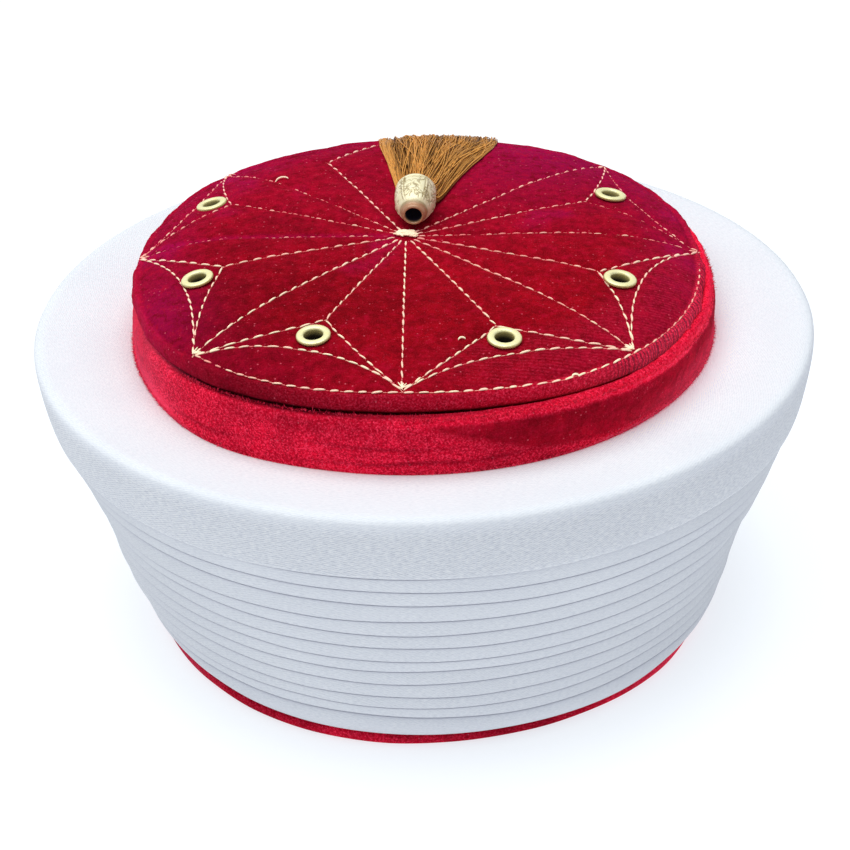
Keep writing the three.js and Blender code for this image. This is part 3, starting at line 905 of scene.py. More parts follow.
def nearest_line(x, y, lines):
    """Distance from each plan point to the nearest piece of any polyline."""
    best = np.full(x.shape, 1e3)
    for line in lines:
        for (ax, ay), (bx, by) in zip(line[:-1], line[1:]):
            dx, dy = bx - ax, by - ay
            share = np.clip(((x - ax) * dx + (y - ay) * dy) / (dx * dx + dy * dy), 0, 1)
            best = np.minimum(best, np.hypot(x - ax - share * dx, y - ay - share * dy))
    return best


STAR = star_lines()
STAR_COARSE = [line[::3] for line in STAR]
BACK_RAY = STAR_COARSE[STAR_PARTS.index("ray") + 7 * len(STAR_PARTS)]     # to the last tip
EYELET_SPOTS = [polar(radius, degrees) for degrees, radius in EYELETS]


def dome_height(radius):
    rise = 1 - (radius / PANEL_RADIUS) ** DOME_POWER
    return EDGE_HEIGHT + (CROWN_HEIGHT - EDGE_HEIGHT) * rise


def blown_padding():
    """Rise of the padding, in millimetres, over a square grid in plan: a cloth pinned along the
    star, round the eyelets and at the panel's edge, and blown up from beneath by soft pressure."""
    x, y = np.meshgrid(PADDING_GRID, PADDING_GRID)
    radius = np.hypot(x, y)
    inside = radius < PANEL_RADIUS
    number = np.cumsum(inside).reshape(inside.shape) - 1
    cell = [(slice(None, -1), slice(None, -1)), (slice(None, -1), slice(1, None)),
            (slice(1, None), slice(1, None)), (slice(1, None), slice(None, -1))]
    full = np.all([inside[corner] for corner in cell], axis=0)
    quads = np.stack([number[corner][full] for corner in cell], axis=-1)
    start = np.column_stack([x[inside], y[inside], dome_height(radius[inside])])
    cloth = plain_mesh("padding", start, quads)
    mesh = cloth.data
    near_hole = np.min([np.hypot(start[:, 0] - across, start[:, 1] - up)
                        for across, up in EYELET_SPOTS], axis=0)
    near_seam = nearest_line(start[:, 0], start[:, 1], STAR_COARSE)
    sewn = ((near_seam < SEWN_CELLS * PADDING_CELL) | (near_hole < EYELET_FLANGE + 1.1)
            | (radius[inside] > PANEL_RADIUS - 3))
    cloth.vertex_groups.new(name="sewn").add(np.flatnonzero(sewn).tolist(), 1.0, "REPLACE")
    blown = cloth.modifiers.new("blown", "CLOTH")
    settings = blown.settings
    settings.vertex_group_mass = "sewn"
    settings.mass, settings.quality, settings.air_damping = 0.1, 6, 2.0
    settings.tension_stiffness = settings.compression_stiffness = 4
    settings.shear_stiffness, settings.bending_stiffness = 2, 0.1
    settings.use_pressure, settings.uniform_pressure_force = True, 120.0
    settings.effector_weights.gravity = 0
    blown.collision_settings.use_collision = False
    for step in range(1, PADDING_FRAMES + 1):
        bpy.context.scene.frame_set(step)
    end = np.empty(len(start) * 3)
    evaluated(cloth).data.vertices.foreach_get("co", end)
    bpy.context.scene.frame_set(1)
    bpy.data.objects.remove(cloth)
    bpy.data.meshes.remove(mesh)
    rise = np.zeros(x.shape)
    rise[inside] = end.reshape(-1, 3)[:, 2] / MM - start[:, 2]
    return rise


PADDING = blown_padding()


def puffs(x, y, near):
    """Height of the soft puffs between the seams, from the blown cloth; the quick form rises with
    the distance from the nearest seam."""
    if PADDING is None:
        return 0.45 * (1 - np.exp(-(near / 4.0) ** 1.5))
    across, up = (x - PADDING_GRID[0]) / PADDING_CELL, (y - PADDING_GRID[0]) / PADDING_CELL
    column = np.clip(np.floor(across).astype(int), 0, len(PADDING_GRID) - 2)
    row = np.clip(np.floor(up).astype(int), 0, len(PADDING_GRID) - 2)
    return in_cell(lambda i, j: PADDING[row + i, column + j], across - column, up - row)


def quilting(x, y):
    """Height added to the dome: a narrow valley along each stitch line, soft puffs between them,
    a dimple round each eyelet, a lift at the back and left, and slow unevenness of the padding."""
    radius, degrees = np.hypot(x, y), np.degrees(np.arctan2(y, x))
    near = np.minimum(nearest_line(x, y, STAR_COARSE), np.abs(radius - PANEL_RADIUS))
    valley = -0.50 * bell(near, 0, 1.0)
    dimple = sum(-0.5 * bell(np.hypot(x - across, y - up), EYELET_FLANGE, 2.2)
                 for across, up in EYELET_SPOTS)
    slow = 0.26 * unevenness(x + 200, y + 200, 19, 31) + 0.12 * unevenness(x + 200, y + 200, 7, 32)
    crease = -0.35 * bell(y - 0.045 * (x + 50), 14, 0.9)
    crease = crease * smoothstep(-x, 12, 40) * smoothstep(x, -92, -84)
    lift = 0.75 * lobe(degrees, 150, 50)
    lift = lift + 0.25 * lobe(degrees, 15, 22)
    lift = lift * smoothstep(radius, 45, 85)
    sewn = puffs(x, y, near) + valley + dimple + crease
    return (sewn * smoothstep(PANEL_RADIUS + 1 - radius, 0, 1) + slow * (radius < PANEL_RADIUS)
            + lift * smoothstep(PANEL_RADIUS + 6 - radius, 0, 6))


def on_top(plan, lift=0.0):
    """Places on the finished top panel, from plan points about its middle."""
    x, y = plan[..., 0], plan[..., 1]
    z = dome_height(np.hypot(x, y)) + quilting(x, y) + lift
    placed = settle(np.stack([x, y, z], axis=-1))
    placed[..., 0] += PANEL_SHIFT
    return placed


def eyelet_poses():
    """Middle and turn of each eyelet, square to the plain dome."""
    poses = []
    for degrees, radius in EYELETS:
        beside = [(radius, degrees), (radius, degrees + 2), (radius + 2, degrees)]
        near = np.array([polar(*spot) for spot in beside])
        at = settle(np.column_stack([near, dome_height(np.hypot(*near.T))]))
        normal = unit(np.cross(at[2] - at[0], at[1] - at[0]))
        across = unit(np.cross([0, 1, 0], normal))
        turn = np.column_stack([across, np.cross(normal, across), normal])
        poses.append((at[0] + [PANEL_SHIFT, 0, 0], turn))
    return poses


def panel_marks(x, y, height, outside):
    """How the pile lies over the panel, with the light and shade painted on it; outside is 1 on its
    gathered edge.
    """
    away, turn = np.hypot(x, y), np.degrees(np.arctan2(y, x))

    def spot(across, up, width):
        return bell(np.hypot(x - across, y - up), 0, width)

    patch = 0.6 * unevenness(x + 300, y + 300, 26, 51) + 0.4 * unevenness(x + 300, y + 300, 9, 52)
    # far and rim: painted light and sheen towards the back and round the rim
    far = smoothstep(y, -50, 60)
    rim = smoothstep(away, 66, 90) * (1 - 0.9 * lobe(turn, -88, 58))
    furrow = bell(nearest_line(x, y, [BACK_RAY]), 0, 1.3)
    front = near_bearing(turn, -90, 74, 40) * smoothstep(turn, -140, -100)
    front_right = near_bearing(turn, -32, 42, 22)
    # Painted light and shade round the gathered edge, by bearing
    edge_painted_light = 0.22 * lobe(turn, -160, 22) + bells(
        turn, (-0.32, -122, 14), (-0.34, -95, 18), (0.16, -62, 16), (0.40, -22, 22),
        (0.14, -85, 16))
    patchy = 0.4 * smoothstep(patch, 0.25, 0.7) * smoothstep(y, -70, -20)
    under_edge = smoothstep(height, SEAT_HEIGHT + 1.9, SEAT_HEIGHT + 0.7) * (away > PANEL_RADIUS)
    return {
        "ruffle": outside * (0.25 + 0.55 * np.maximum(front, front_right)),
        # painted light and shade, with random tone from patch
        "painted_light_and_tone": (0.06 + 0.04 * far + 0.12 * patch + 0.10 * furrow - 0.30 * spot(-50, -50, 46)
                 + 0.16 * spot(12, -22, 22) - 0.08 * spot(20, -76, 20) + 0.06 * spot(-86, -38, 22)
                 + outside * edge_painted_light),
        # colour patches, with painted sheen towards the back and round the rim
        "magenta_and_painted_sheen": np.clip(0.02 + 0.18 * far + 0.38 * rim + patchy + 0.5 * furrow
                           + 0.55 * spot(44, 62, 34) + 0.50 * spot(-86, -40, 22), 0, 1),
        "rows": (0.75 * smoothstep(away, 70, 78) * near_bearing(turn, -45, 48, 26)
                 * (1 - outside)),
        # painted shade in the slit under the panel's edge
        "shade": under_edge * slit_depth(turn, 0.20, -150),
        "comb": outside * near_bearing(turn, -27, 32, 20),
        "around": np.radians(turn) * PANEL_RADIUS,
        # painted sheen, given off as light, on the edge at the right
        "painted_sheen": outside * bells(turn, (0.16, -18, 24), (0.26, -38, 18)),
    }


def cap_top(material):
    """Quilted panel: a closed shell on a polar grid, from the middle of its underside out to the
    gathered edge and back over the top to its middle. Eyelet holes are then cut through it."""
    columns = 440
    angle = bearings(columns)
    degrees = from_angle(np.degrees(angle), 0)
    under = np.linspace(0.04, 0.96, 10) * PANEL_RADIUS
    top = (1 - np.linspace(0, 1, 160) ** 1.05 * 0.997) * PANEL_RADIUS
    widest = PANEL_RADIUS + EDGE_BULGE
    edge = smooth_line([
        (PANEL_RADIUS - 1.4, SEAT_HEIGHT + 0.6), (PANEL_RADIUS + 0.9, SEAT_HEIGHT + 0.5),
        (PANEL_RADIUS + 1.7, SEAT_HEIGHT + 1.0), (widest + 0.2, EDGE_HEIGHT - 4.2),
        (widest + 0.2, EDGE_HEIGHT - 2.6), (widest - 0.2, EDGE_HEIGHT - 0.9),
        (PANEL_RADIUS + 0.9, EDGE_HEIGHT - 0.05), (PANEL_RADIUS, EDGE_HEIGHT - 0.4),
    ], 30, closed=False)[:-1]
    radius = np.concatenate([under, edge[:, 0], top])
    height = np.concatenate([dome_height(under) - PANEL_THICKNESS, edge[:, 1], dome_height(top)])
    shape = turned(np.column_stack([radius, height]), columns)
    face = shape[len(under):]
    face[..., 2] += quilting(face[..., 0], face[..., 1])

    # The gathered edge
    band = slice(len(under), len(under) + len(edge) + 8)
    share = bell(np.arange(len(edge) + 8), len(edge) * 0.60, len(edge) * 0.42)[:, None]
    right = near_bearing(degrees, -24, 34, 18)
    left = lobe(degrees, 176, 34)
    behind = lobe(degrees, 18, 20)
    gathers = ripple(angle, [(97, 0.12), (131, 0.14), (163, 0.12), (59, 0.10)], 41)
    lumps = ripple(angle, [(9, 0.18), (17, 0.20), (29, 0.16), (43, 0.14)], 42)
    swell = gathers * (0.4 + right) + lumps * (1 + 0.5 * right)
    push_out(shape[band], share * (swell + 1.3 * left + 0.9 * right + 1.2 * behind))
    shape[band, :, 2] += share * (0.5 * gathers * (0.3 + right) + 0.5 * lumps - 0.7 * left)
    points = settle(shape)
    points[..., 0] += PANEL_SHIFT

    rows = len(points)
    poles = [points[0].mean(axis=0), points[-1].mean(axis=0)]
    here = np.arange(columns)
    after, last, pole = (here + 1) % columns, (rows - 1) * columns, here * 0 + rows * columns
    caps = np.concatenate([np.column_stack([pole, after, here]),
                           np.column_stack([pole + 1, last + here, last + after])])
    x, y = shape[..., 0], shape[..., 1]
    outside = np.zeros(x.shape)
    outside[band] = np.minimum(share * 1.5, 1)
    outside *= smoothstep(np.hypot(x, y), PANEL_RADIUS - 0.3, PANEL_RADIUS + 0.7)
    marks = spread(panel_marks(x, y, shape[..., 2], outside), shape)
    marks = {mark: np.append(values, [0, 0]) for mark, values in marks.items()}
    made = piece("velvet_top", np.concatenate([points.reshape(-1, 3), poles]),
                 grid_faces(rows, columns, False, True), material, "cap_top", "velvet",
                 triangles=caps, marks=marks)
    cut_eyelet_holes(made)


def cut_eyelet_holes(panel):
    """Bores the panel with six round bits, a little wider than the eyelets' barrels."""
    count = 32
    ring = round_axis(EYELET_BIT, 0, bearings(count))
    poses = eyelet_poses()
    points = [(ring + [0, 0, z]) @ turn.T + middle for middle, turn in poses for z in (-9, 5)]
    here = np.arange(count)
    ends = np.array([here[::-1], count + here])
    quads = repeated(grid_faces(2, count, False, True), len(poses), 2 * count)
    caps = repeated(ends, len(poses), 2 * count)
    bits = plain_mesh("bits", np.concatenate(points), quads, caps)
    bore = panel.modifiers.new("bore", "BOOLEAN")
    bore.operation, bore.solver, bore.object = "DIFFERENCE", "MANIFOLD", bits
    bpy.context.view_layer.update()
    bored, solid = bpy.data.meshes.new_from_object(evaluated(panel)), panel.data
    panel.modifiers.remove(bore)
    panel.data = bored
    bpy.data.meshes.remove(solid)
    bpy.data.objects.remove(bits)


# ---------------------------------------------------------------- stitching

def stitch_shape():
    """One stitch of length 2 along X: a spindle, its radius (1 - x^4)^0.5, arched by 1 - x^2."""
    along = np.sin(np.linspace(-0.5, 0.5, STITCH_ROWS) * math.pi) * 0.995
    angle = bearings(STITCH_SIDES)
    swell = np.sqrt(1 - along ** 4)[:, None]
    shape = np.broadcast_arrays(along[:, None], swell * np.cos(angle), swell * np.sin(angle),
                                (1 - along ** 2)[:, None])
    return [part.reshape(1, -1, 1) for part in shape]


def sew(name, middles, forwards, ups, lengths, radii, arches, dips, material, heap=0.0):
    """All stitches of a kind as one mesh: the spindle above, repeated at every place. The mark dip
    grows with the fourth power of the place along a stitch, as its ends go down into the pile."""
    x, side, lift, arch = stitch_shape()
    forward = unit(forwards)
    across = unit(np.cross(ups, forward))
    up = np.cross(forward, across)
    lengths, radii, arches, dips = (
        values[:, None, None] for values in (lengths, radii, arches, dips))
    points = (middles[:, None] + forward[:, None] * x * lengths / 2 + across[:, None] * side * radii
              + up[:, None] * (lift * radii + arch * arches))
    last, each = (STITCH_ROWS - 1) * STITCH_SIDES, STITCH_ROWS * STITCH_SIDES
    caps = np.array([[0, k + 1, k] for k in range(1, STITCH_SIDES - 1)]
                    + [[last, last + k, last + k + 1] for k in range(1, STITCH_SIDES - 1)])
    count = len(middles)
    piece(name, points.reshape(-1, 3),
          repeated(grid_faces(STITCH_ROWS, STITCH_SIDES, False, True), count, each), material,
          triangles=repeated(caps, count, each),
          marks={"dip": np.clip(dips + 0.45 * x ** 4, 0, 1).ravel(),
                 "heap": np.repeat(heap + np.zeros(count), each)})


def stitch_holes(line, draw):
    """Plan places of the holes of stitches set end to end along a polyline."""
    length = lengths_along(line)[-1]
    count = max(int(round(length / STITCH_PITCH)), 1)
    holes = np.linspace(0, length, count + 1)
    holes[1:-1] += draw.uniform(-0.09, 0.09, count - 1) * STITCH_PITCH
    return at_lengths(line, holes)


def surface_up(plan):
    """Direction square to the dome at plan points."""
    step = 0.6
    east = on_top(plan + [step, 0]) - on_top(plan - [step, 0])
    north = on_top(plan + [0, step]) - on_top(plan - [0, step])
    return unit(np.cross(east, north))


def star_stitching(material):
    """Rays, kites and bows of the star, and the ring sewn round the panel's edge. Between two
    stitches a thin short one carries the thread through the pile."""
    draw = np.random.default_rng(61)
    starts, ends, sunk = [], [], []
    for index, line in enumerate(STAR + [edge_line()]):
        kite, part = divmod(index, len(STAR_PARTS))
        depth = SUNK.get((kite, STAR_PARTS[part]), 0)
        if depth < 1:
            holes = stitch_holes(line, draw)
            starts.append(holes[:-1])
            ends.append(holes[1:])
            sunk.append(np.full(len(holes) - 1, float(depth)))
    on_edge = len(starts[-1])
    starts, ends, sunk = np.concatenate(starts), np.concatenate(ends), np.concatenate(sunk)
    count = len(starts)
    plan = (starts + ends) / 2
    back, degrees = plan[:, 1], np.degrees(np.arctan2(plan[:, 1], plan[:, 0]))
    edge_depth = 0.45 * (degrees > -46) + 0.42 * bell(degrees, -130, 11)
    sunk = np.maximum(sunk, (np.arange(count) >= count - on_edge) * edge_depth)
    first, last = on_top(starts), on_top(ends)
    size = draw.uniform(0.80, 1.10, count) * (1 - 0.45 * sunk * draw.uniform(0.5, 1, count))
    size *= 1 - 0.22 * smoothstep(back, -20, 30)
    forwards, ups = last - first, surface_up(plan)
    lengths = np.linalg.norm(forwards, axis=1) * STITCH_LENGTH / STITCH_PITCH * size
    slant = np.cross(ups, forwards) * draw.normal(0.085, 0.040, (count, 1))
    faint = smoothstep(back, -30, 40) * draw.uniform(0.2, 1, count)
    radii = THREAD_RADIUS * draw.uniform(0.82, 1.2, count) * (1 - 0.12 * faint) * (1 - 0.30 * sunk)
    arches = 0.20 * draw.uniform(0.7, 1.2, count)
    lifts = 0.15 - 0.08 * faint - 0.34 * sunk * draw.uniform(0.5, 1.4, count)
    middles = (first + last) / 2 + ups * lifts[:, None]
    dips = np.minimum(1.6 * sunk, 0.4 + 0.5 * sunk) * draw.uniform(0.3, 1.3, count)
    kept = draw.uniform(0, 1, count) > 0.5 * sunk ** 3
    thin = draw.uniform(0.18, 0.58, count) * (1 - 0.5 * sunk) * (1 - 0.5 * faint)
    sew("star_bridging", on_top(ends, 0.02), forwards, surface_up(ends), np.full(count, 1.4),
        THREAD_RADIUS * thin, np.full(count, 0.03), draw.uniform(0.35, 1.0, count), material)
    stitches = (middles, forwards + slant, ups, lengths, radii, arches, dips)
    sew("star_stitching", *(values[kept] for values in stitches), material)


def tip_stitching(material):
    """Back-tacking where lines meet: short stitches fanned over each tip, and the knot's mound."""
    draw = np.random.default_rng(62)
    middles, forwards, lengths, radii, dips = [], [], [], [], []
    for tip, (degrees, radius) in enumerate(STAR_TIPS):
        spot = polar(radius - 0.3, degrees)
        bold = tip in BOLD_TIPS
        count = 6 if bold else 3
        for lean in np.linspace(-44, 44, count) + draw.uniform(-7, 7, count):
            aim = polar(1, degrees + 180 + lean)
            plan = spot + aim * draw.uniform(1.0, 1.9)
            middles.append(on_top(plan[None], (0.25 if bold else 0.05) + draw.uniform(0, 0.25))[0])
            forwards.append([*aim, 0.0])
            lengths.append(draw.uniform(2.6, 4.2) * (1.0 if bold else 0.75))
            radii.append(0.64 if bold else 0.6)
            dips.append(-0.2 if bold else 0.2)
    for _ in range(KNOT_STITCHES):
        turn = draw.normal(0, 0.36) + math.pi * draw.integers(0, 2)
        plan = np.array(KNOT) + [draw.uniform(-2.7, 2.7), draw.uniform(-1.4, 1.4)]
        middles.append(on_top(plan[None], 0.85 + draw.uniform(-0.35, 0.25))[0])
        forwards.append([math.cos(turn), math.sin(turn), 0.0])
        lengths.append(draw.uniform(2.4, 3.8))
        radii.append(draw.uniform(0.85, 1.2))
        dips.append(-0.2)
    count, dips = len(middles), np.array(dips)
    upright = np.tile([0.0, 0.0, 1.0], (count, 1))
    sew("tip_stitching", np.array(middles), np.array(forwards), upright, np.array(lengths),
        THREAD_RADIUS * np.array(radii), np.full(count, 0.15), dips, material,
        heap=np.where(dips < 0, 0.75, 0.0))


def loose_ends(material):
    """Stray ends of thread: thin tubes along half turns of circles that stand on the pile."""
    turn = np.linspace(0, math.pi, 12)
    cores = []
    for degrees, radius, heading, length in LOOSE_ENDS:
        ahead, beside = polar(1, heading), polar(1, heading + 90)
        plan = np.cos(turn)[:, None] * ahead + 0.45 * np.sin(turn)[:, None] * beside
        core = on_top(polar(radius, degrees) + length / 2 * plan, 0.3)
        core[:, 2] += 0.5 * np.sin(turn)
        cores.append(core)
    thickness = 0.32 * np.sqrt(np.sin(turn * 0.96 + 0.06))
    count = len(cores)
    tubes("loose_ends", np.array(cores), thickness, 5, [0, 0, 1.0], material,
          {"dip": np.zeros(count), "heap": np.full(count, 0.6)})


def pile_fuzz(material):
    """Tips of the pile that stand out at the wall's foot, its lip and the panel's edge: each a thin
    three-sided cone, leaning at random from the place it grows on."""
    draw = np.random.default_rng(66)
    lines = [        # count, radius, height, out, up, from, to
        (4200, SHELF_RADIUS + 0.1, SHELF_HEIGHT + 0.5, 0.8, -0.4, -215, 40),
        (1600, LIP_RADIUS - 0.9, SEAT_HEIGHT + 0.1, 0.5, 0.7, -95, 12),
        (1300, LIP_RADIUS - 2.2, SEAT_HEIGHT + 0.5, -0.2, 0.8, -140, 10),
        (1500, SHELF_RADIUS + 0.3, SHELF_HEIGHT + 1.0, 1.0, 0.0, -205, -138),
        (900, SHELF_RADIUS + 0.3, SHELF_HEIGHT + 1.0, 1.0, 0.0, -58, 10),
    ]
    roots, aims = [], []
    for count, radius, height, out, up, low, high in lines:
        degrees = draw.uniform(low, high, count)
        place = polar(radius + draw.normal(0, 0.25, count), degrees)
        roots.append(np.column_stack([place, height + draw.normal(0, 0.3, count)]))
        aim = np.column_stack([unit(place) * out, np.full(count, up)])
        aims.append(aim + draw.normal(0, 0.45, (count, 3)))
    roots, aims = settle(np.concatenate(roots)), unit(np.concatenate(aims))
    across = unit(np.cross(aims, [0.3, 0.2, 1.0]))
    beside = np.cross(aims, across)
    around = bearings(3)[None, :, None]
    ring = np.cos(around) * across[:, None] + np.sin(around) * beside[:, None]
    ring = roots[:, None] - 0.3 * aims[:, None] + FUZZ_RADIUS * ring
    tips = roots + aims * draw.uniform(0.4, 1.1, (len(roots), 1))
    points = np.concatenate([ring, tips[:, None]], axis=1).reshape(-1, 3)
    cone = np.array([(0, 1, 3), (1, 2, 3), (2, 0, 3), (2, 1, 0)])
    piece("pile_fuzz", points, np.zeros((0, 4), int), material,
          triangles=repeated(cone, len(roots), 4),
          # Painted light and sheen on the fuzz, the sheen stronger by the shelf
          marks={"ruffle": np.full(len(points), 0.9), "painted_light_and_tone": np.full(len(points), 0.5),
                 "painted_sheen": np.where(points[:, 2] < SHELF_HEIGHT + 4, 0.6, 0.2)})


# ---------------------------------------------------------------- metal

def eyelets(material):
    """Pressed eyelets: a rounded flange, a waist down the barrel and a rolled foot."""
    under = -PANEL_THICKNESS - 1.6
    rows, columns = 48, 60
    line = smooth_line([
        (EYELET_HOLE, under), (EYELET_FLANGE - 0.7, under), (EYELET_FLANGE - 0.6, under + 0.9),
        (EYELET_HOLE + 0.6, under + 1.1), (EYELET_HOLE + 0.6, EYELET_SEAT - 0.1),
        (EYELET_FLANGE - 0.2, EYELET_SEAT - 0.5), (EYELET_FLANGE + 0.05, EYELET_SEAT - 0.1),
        (EYELET_FLANGE, EYELET_SEAT + 0.3), (EYELET_FLANGE - 0.35, EYELET_SEAT + 0.68),
        (EYELET_FLANGE - 1.2, EYELET_SEAT + 0.82), (EYELET_HOLE + 0.5, EYELET_SEAT + 0.80),
        (EYELET_HOLE + 0.05, EYELET_SEAT + 0.45), (EYELET_HOLE, EYELET_SEAT - 1),
    ], rows)
    radius, height = line.T
    # The mark hollow paints shade down the hole
    hollow = smoothstep(height, EYELET_SEAT, EYELET_SEAT - 2.2) * (radius < EYELET_HOLE + 0.5)
    edge = (smoothstep(radius, EYELET_FLANGE - 0.25, EYELET_FLANGE)
            + smoothstep(radius, EYELET_HOLE + 0.14, EYELET_HOLE + 0.01))
    marks = {"hollow": hollow[:, None], "edge": np.clip(edge * 0.8, 0, 1)[:, None]}
    for number, (middle, turn) in enumerate(eyelet_poses(), 1):
        ring_piece(f"brass_eyelet_{number}", turned(line, columns) @ turn.T + middle, material,
                   f"eyelet_{number}", "brass", marks)


def leaf_relief(angle, along):
    """Outlines of curling leaves over a barrel, from 0 to 1: each a line along a parabola, fading
    at its ends."""
    draw = np.random.default_rng(65)
    highest = 0 * angle + 0 * along
    for _ in range(BEAD_LEAVES):
        across = from_angle(np.degrees(angle), draw.uniform(0, 360)) * math.radians(BEAD_RADIUS)
        up = along - draw.uniform(-4.0, BEAD_LENGTH / 2 - 2)
        turn, bend, reach = draw.uniform(0, TURN), draw.uniform(0.25, 0.6), draw.uniform(0.9, 1.7)
        ahead = across * math.cos(turn) + up * math.sin(turn)
        beside = up * math.cos(turn) - across * math.sin(turn)
        fading = smoothstep(np.abs(ahead), reach, reach - 0.5)
        highest = np.maximum(highest, bell(beside, bend * ahead ** 2, 0.19) * fading)
    return highest


def rotated(x, y, angle):
    return x * math.cos(angle) - y * math.sin(angle), x * math.sin(angle) + y * math.cos(angle)


def bead(material):
    """Cast bell: a section turned about its length, with raised ribs and collars and engraved
    leaves. The relief is a function of the angle and the place along it, pushed out along the
    radius."""
    mouth, head = -BEAD_LENGTH / 2, BEAD_LENGTH / 2
    outer, columns = 104, 200
    outside = smooth_line([
        (BEAD_BORE + 0.1, mouth - 0.3), (BEAD_MOUTH - 0.5, mouth - 0.5),
        (BEAD_MOUTH + 0.1, mouth + 0.1), (BEAD_MOUTH, mouth + 1.1), (BEAD_MOUTH + 0.5, mouth + 2.0),
        (BEAD_RADIUS - 1.6, mouth + 3.2), (BEAD_RADIUS - 0.3, mouth + 7.0),
        (BEAD_RADIUS, head - 4.5), (BEAD_RADIUS - 0.3, head - 1.4), (BEAD_RADIUS - 0.9, head),
        (BEAD_RADIUS - 1.8, head - 0.1), (BEAD_BORE + 0.8, head - 0.6),
    ], outer, closed=False)
    inside = smooth_line([(BEAD_BORE, head - 0.6), (BEAD_BORE, mouth + 1)], 10, closed=False)
    line = np.concatenate([outside, inside])
    shape = turned(line, columns)
    angle, along = bearings(columns)[None, :], line[:, 1, None]
    from_petal = np.abs((angle * BEAD_PETALS / TURN + 0.25) % 1 - 0.5) * TURN / BEAD_PETALS * 6.3
    leaves = leaf_relief(angle, along)
    ribs = bell(from_petal, 3.9, 0.30) * (1 + 0.5 * np.cos(along * 5.2))
    collars = bell(along, mouth + 1.9, 0.3) + bell(along, head - 1.6, 0.35)
    body = smoothstep(along, mouth + 2.6, mouth + 3.8) * smoothstep(along, head - 1.2, head - 2.6)
    relief = 0.26 * ribs * body + 0.22 * collars - 0.20 * leaves * body
    relief[outer:] = 0
    push_out(shape, relief)
    hollow = (0.9 * leaves + 0.8 * bell(from_petal, 3.45, 0.22)) * body
    hollow = np.clip(hollow + 0.8 * bell(along, mouth + 2.1, 0.35), 0, 1)
    hollow[outer:] = 1
    # Coppery at the mouth, and down the right side a painted reflection of the red cap
    copper_and_painted_reflection = 0.95 * smoothstep(along, mouth + 2.6, mouth + 1.2)
    copper_and_painted_reflection = copper_and_painted_reflection + 0.35 * smoothstep(np.cos(angle), 0.35, 0.9)
    y, z = rotated(shape[..., 2], shape[..., 1], BEAD_TILT)
    x, y = rotated(shape[..., 0], y, BEAD_TURN)
    # The mark bore paints the inside of the bore dark as shade
    ring_piece("gold_bead", np.stack([x, y, z], axis=-1) + BEAD_PLACE, material, "tassel_bead",
               "brass", {"hollow": hollow, "copper_and_painted_reflection": copper_and_painted_reflection,
                         "bore": (np.arange(len(line)) >= outer)[:, None]}, inside_out=True)


# ---------------------------------------------------------------- tassel

def thread_places(draw, share):
    """Where the threads run: each one's place across the fan and in its thickness, from -1 to 1,
    with how thick and how light it is: its own tone, with painted light on threads higher in the
    fan, on those lying over the rest and at the fan's edges, and painted shade to the right. Most
    threads lie in locks that bow together."""
    count, locks = TASSEL_THREADS, TASSEL_LOCKS
    side, level = draw.uniform(-1, 1, (count, 1)), draw.uniform(-1, 1, (count, 1))
    pace, phase = draw.uniform(2, 7, (count, 1)), draw.uniform(0, TURN, (count, 1))
    lean = draw.normal(0, 0.07, (count, 1))
    lock = draw.integers(0, locks, count)
    outer = np.arange(count) >= count - TASSEL_OUTER
    loose = np.arange(count)[:, None] < TASSEL_LOOSE
    bound = (lock >= locks // 5) & ~outer
    lock_side = np.linspace(-1, 1, locks)
    lock_turn, lock_lean = draw.uniform(0, TURN, locks), draw.normal(0, 0.13, locks)
    side = np.where(bound, lock_side[lock] + draw.normal(0, 0.035, count), side[:, 0])
    side = np.where(outer, -draw.uniform(0.84, 0.99, count), side)[:, None]
    bow = 0.09 * np.sin(3.4 * share + lock_turn[lock][:, None]) + lock_lean[lock][:, None] * share
    stray = 0.05 * np.sin(share * pace + phase) + lean * share
    place = side + (np.where(bound[:, None], bow, 0) + stray) * smoothstep(share, 0.03, 0.3)
    place = np.clip(place, -1.0, 1.0) + 0.03 * np.sin(9 * share + phase)
    drift = 0.22 * np.sin(share * draw.uniform(3, 9, (count, 1)) + phase) + 0.5 * lean
    drifting = np.clip(side + drift * smoothstep(share, 0.0, 0.15), -1, 1)
    place = np.where(loose, drifting, place)
    depth = np.sqrt(np.clip(1 - np.clip(place, -1, 1) ** 2, 0.1, 1)) * level
    weave = share * draw.uniform(6, 16, (count, 1)) + draw.uniform(0, TURN, (count, 1))
    depth += 0.3 * np.sin(weave) * smoothstep(share, 0.05, 0.3)
    lying_over = 1.1 + 0.15 * np.sin(share * pace + phase)
    depth = np.where(loose, lying_over, np.clip(depth, -1.0, 1.3))
    thickness = TASSEL_THREAD_RADIUS * draw.uniform(0.8, 1.35, (count, 1))
    tone = np.where(bound, draw.uniform(-0.22, 0.22, locks)[lock], 0)
    # Painted light on the threads at the fan's edges, and painted shade to its right
    edge = 0.35 * smoothstep(np.abs(place).mean(axis=1), 0.82, 0.97)
    edge -= 0.22 * smoothstep(place.mean(axis=1), -0.1, 0.5)
    # Painted light on threads higher in the fan and on the loose ones lying over the rest; the rest
    # is random tone
    light = draw.beta(1.6, 2.0, count) + tone + 0.25 * level[:, 0] + 0.6 * loose[:, 0] + edge
    return place, depth, thickness, np.clip(light, 0, 1)


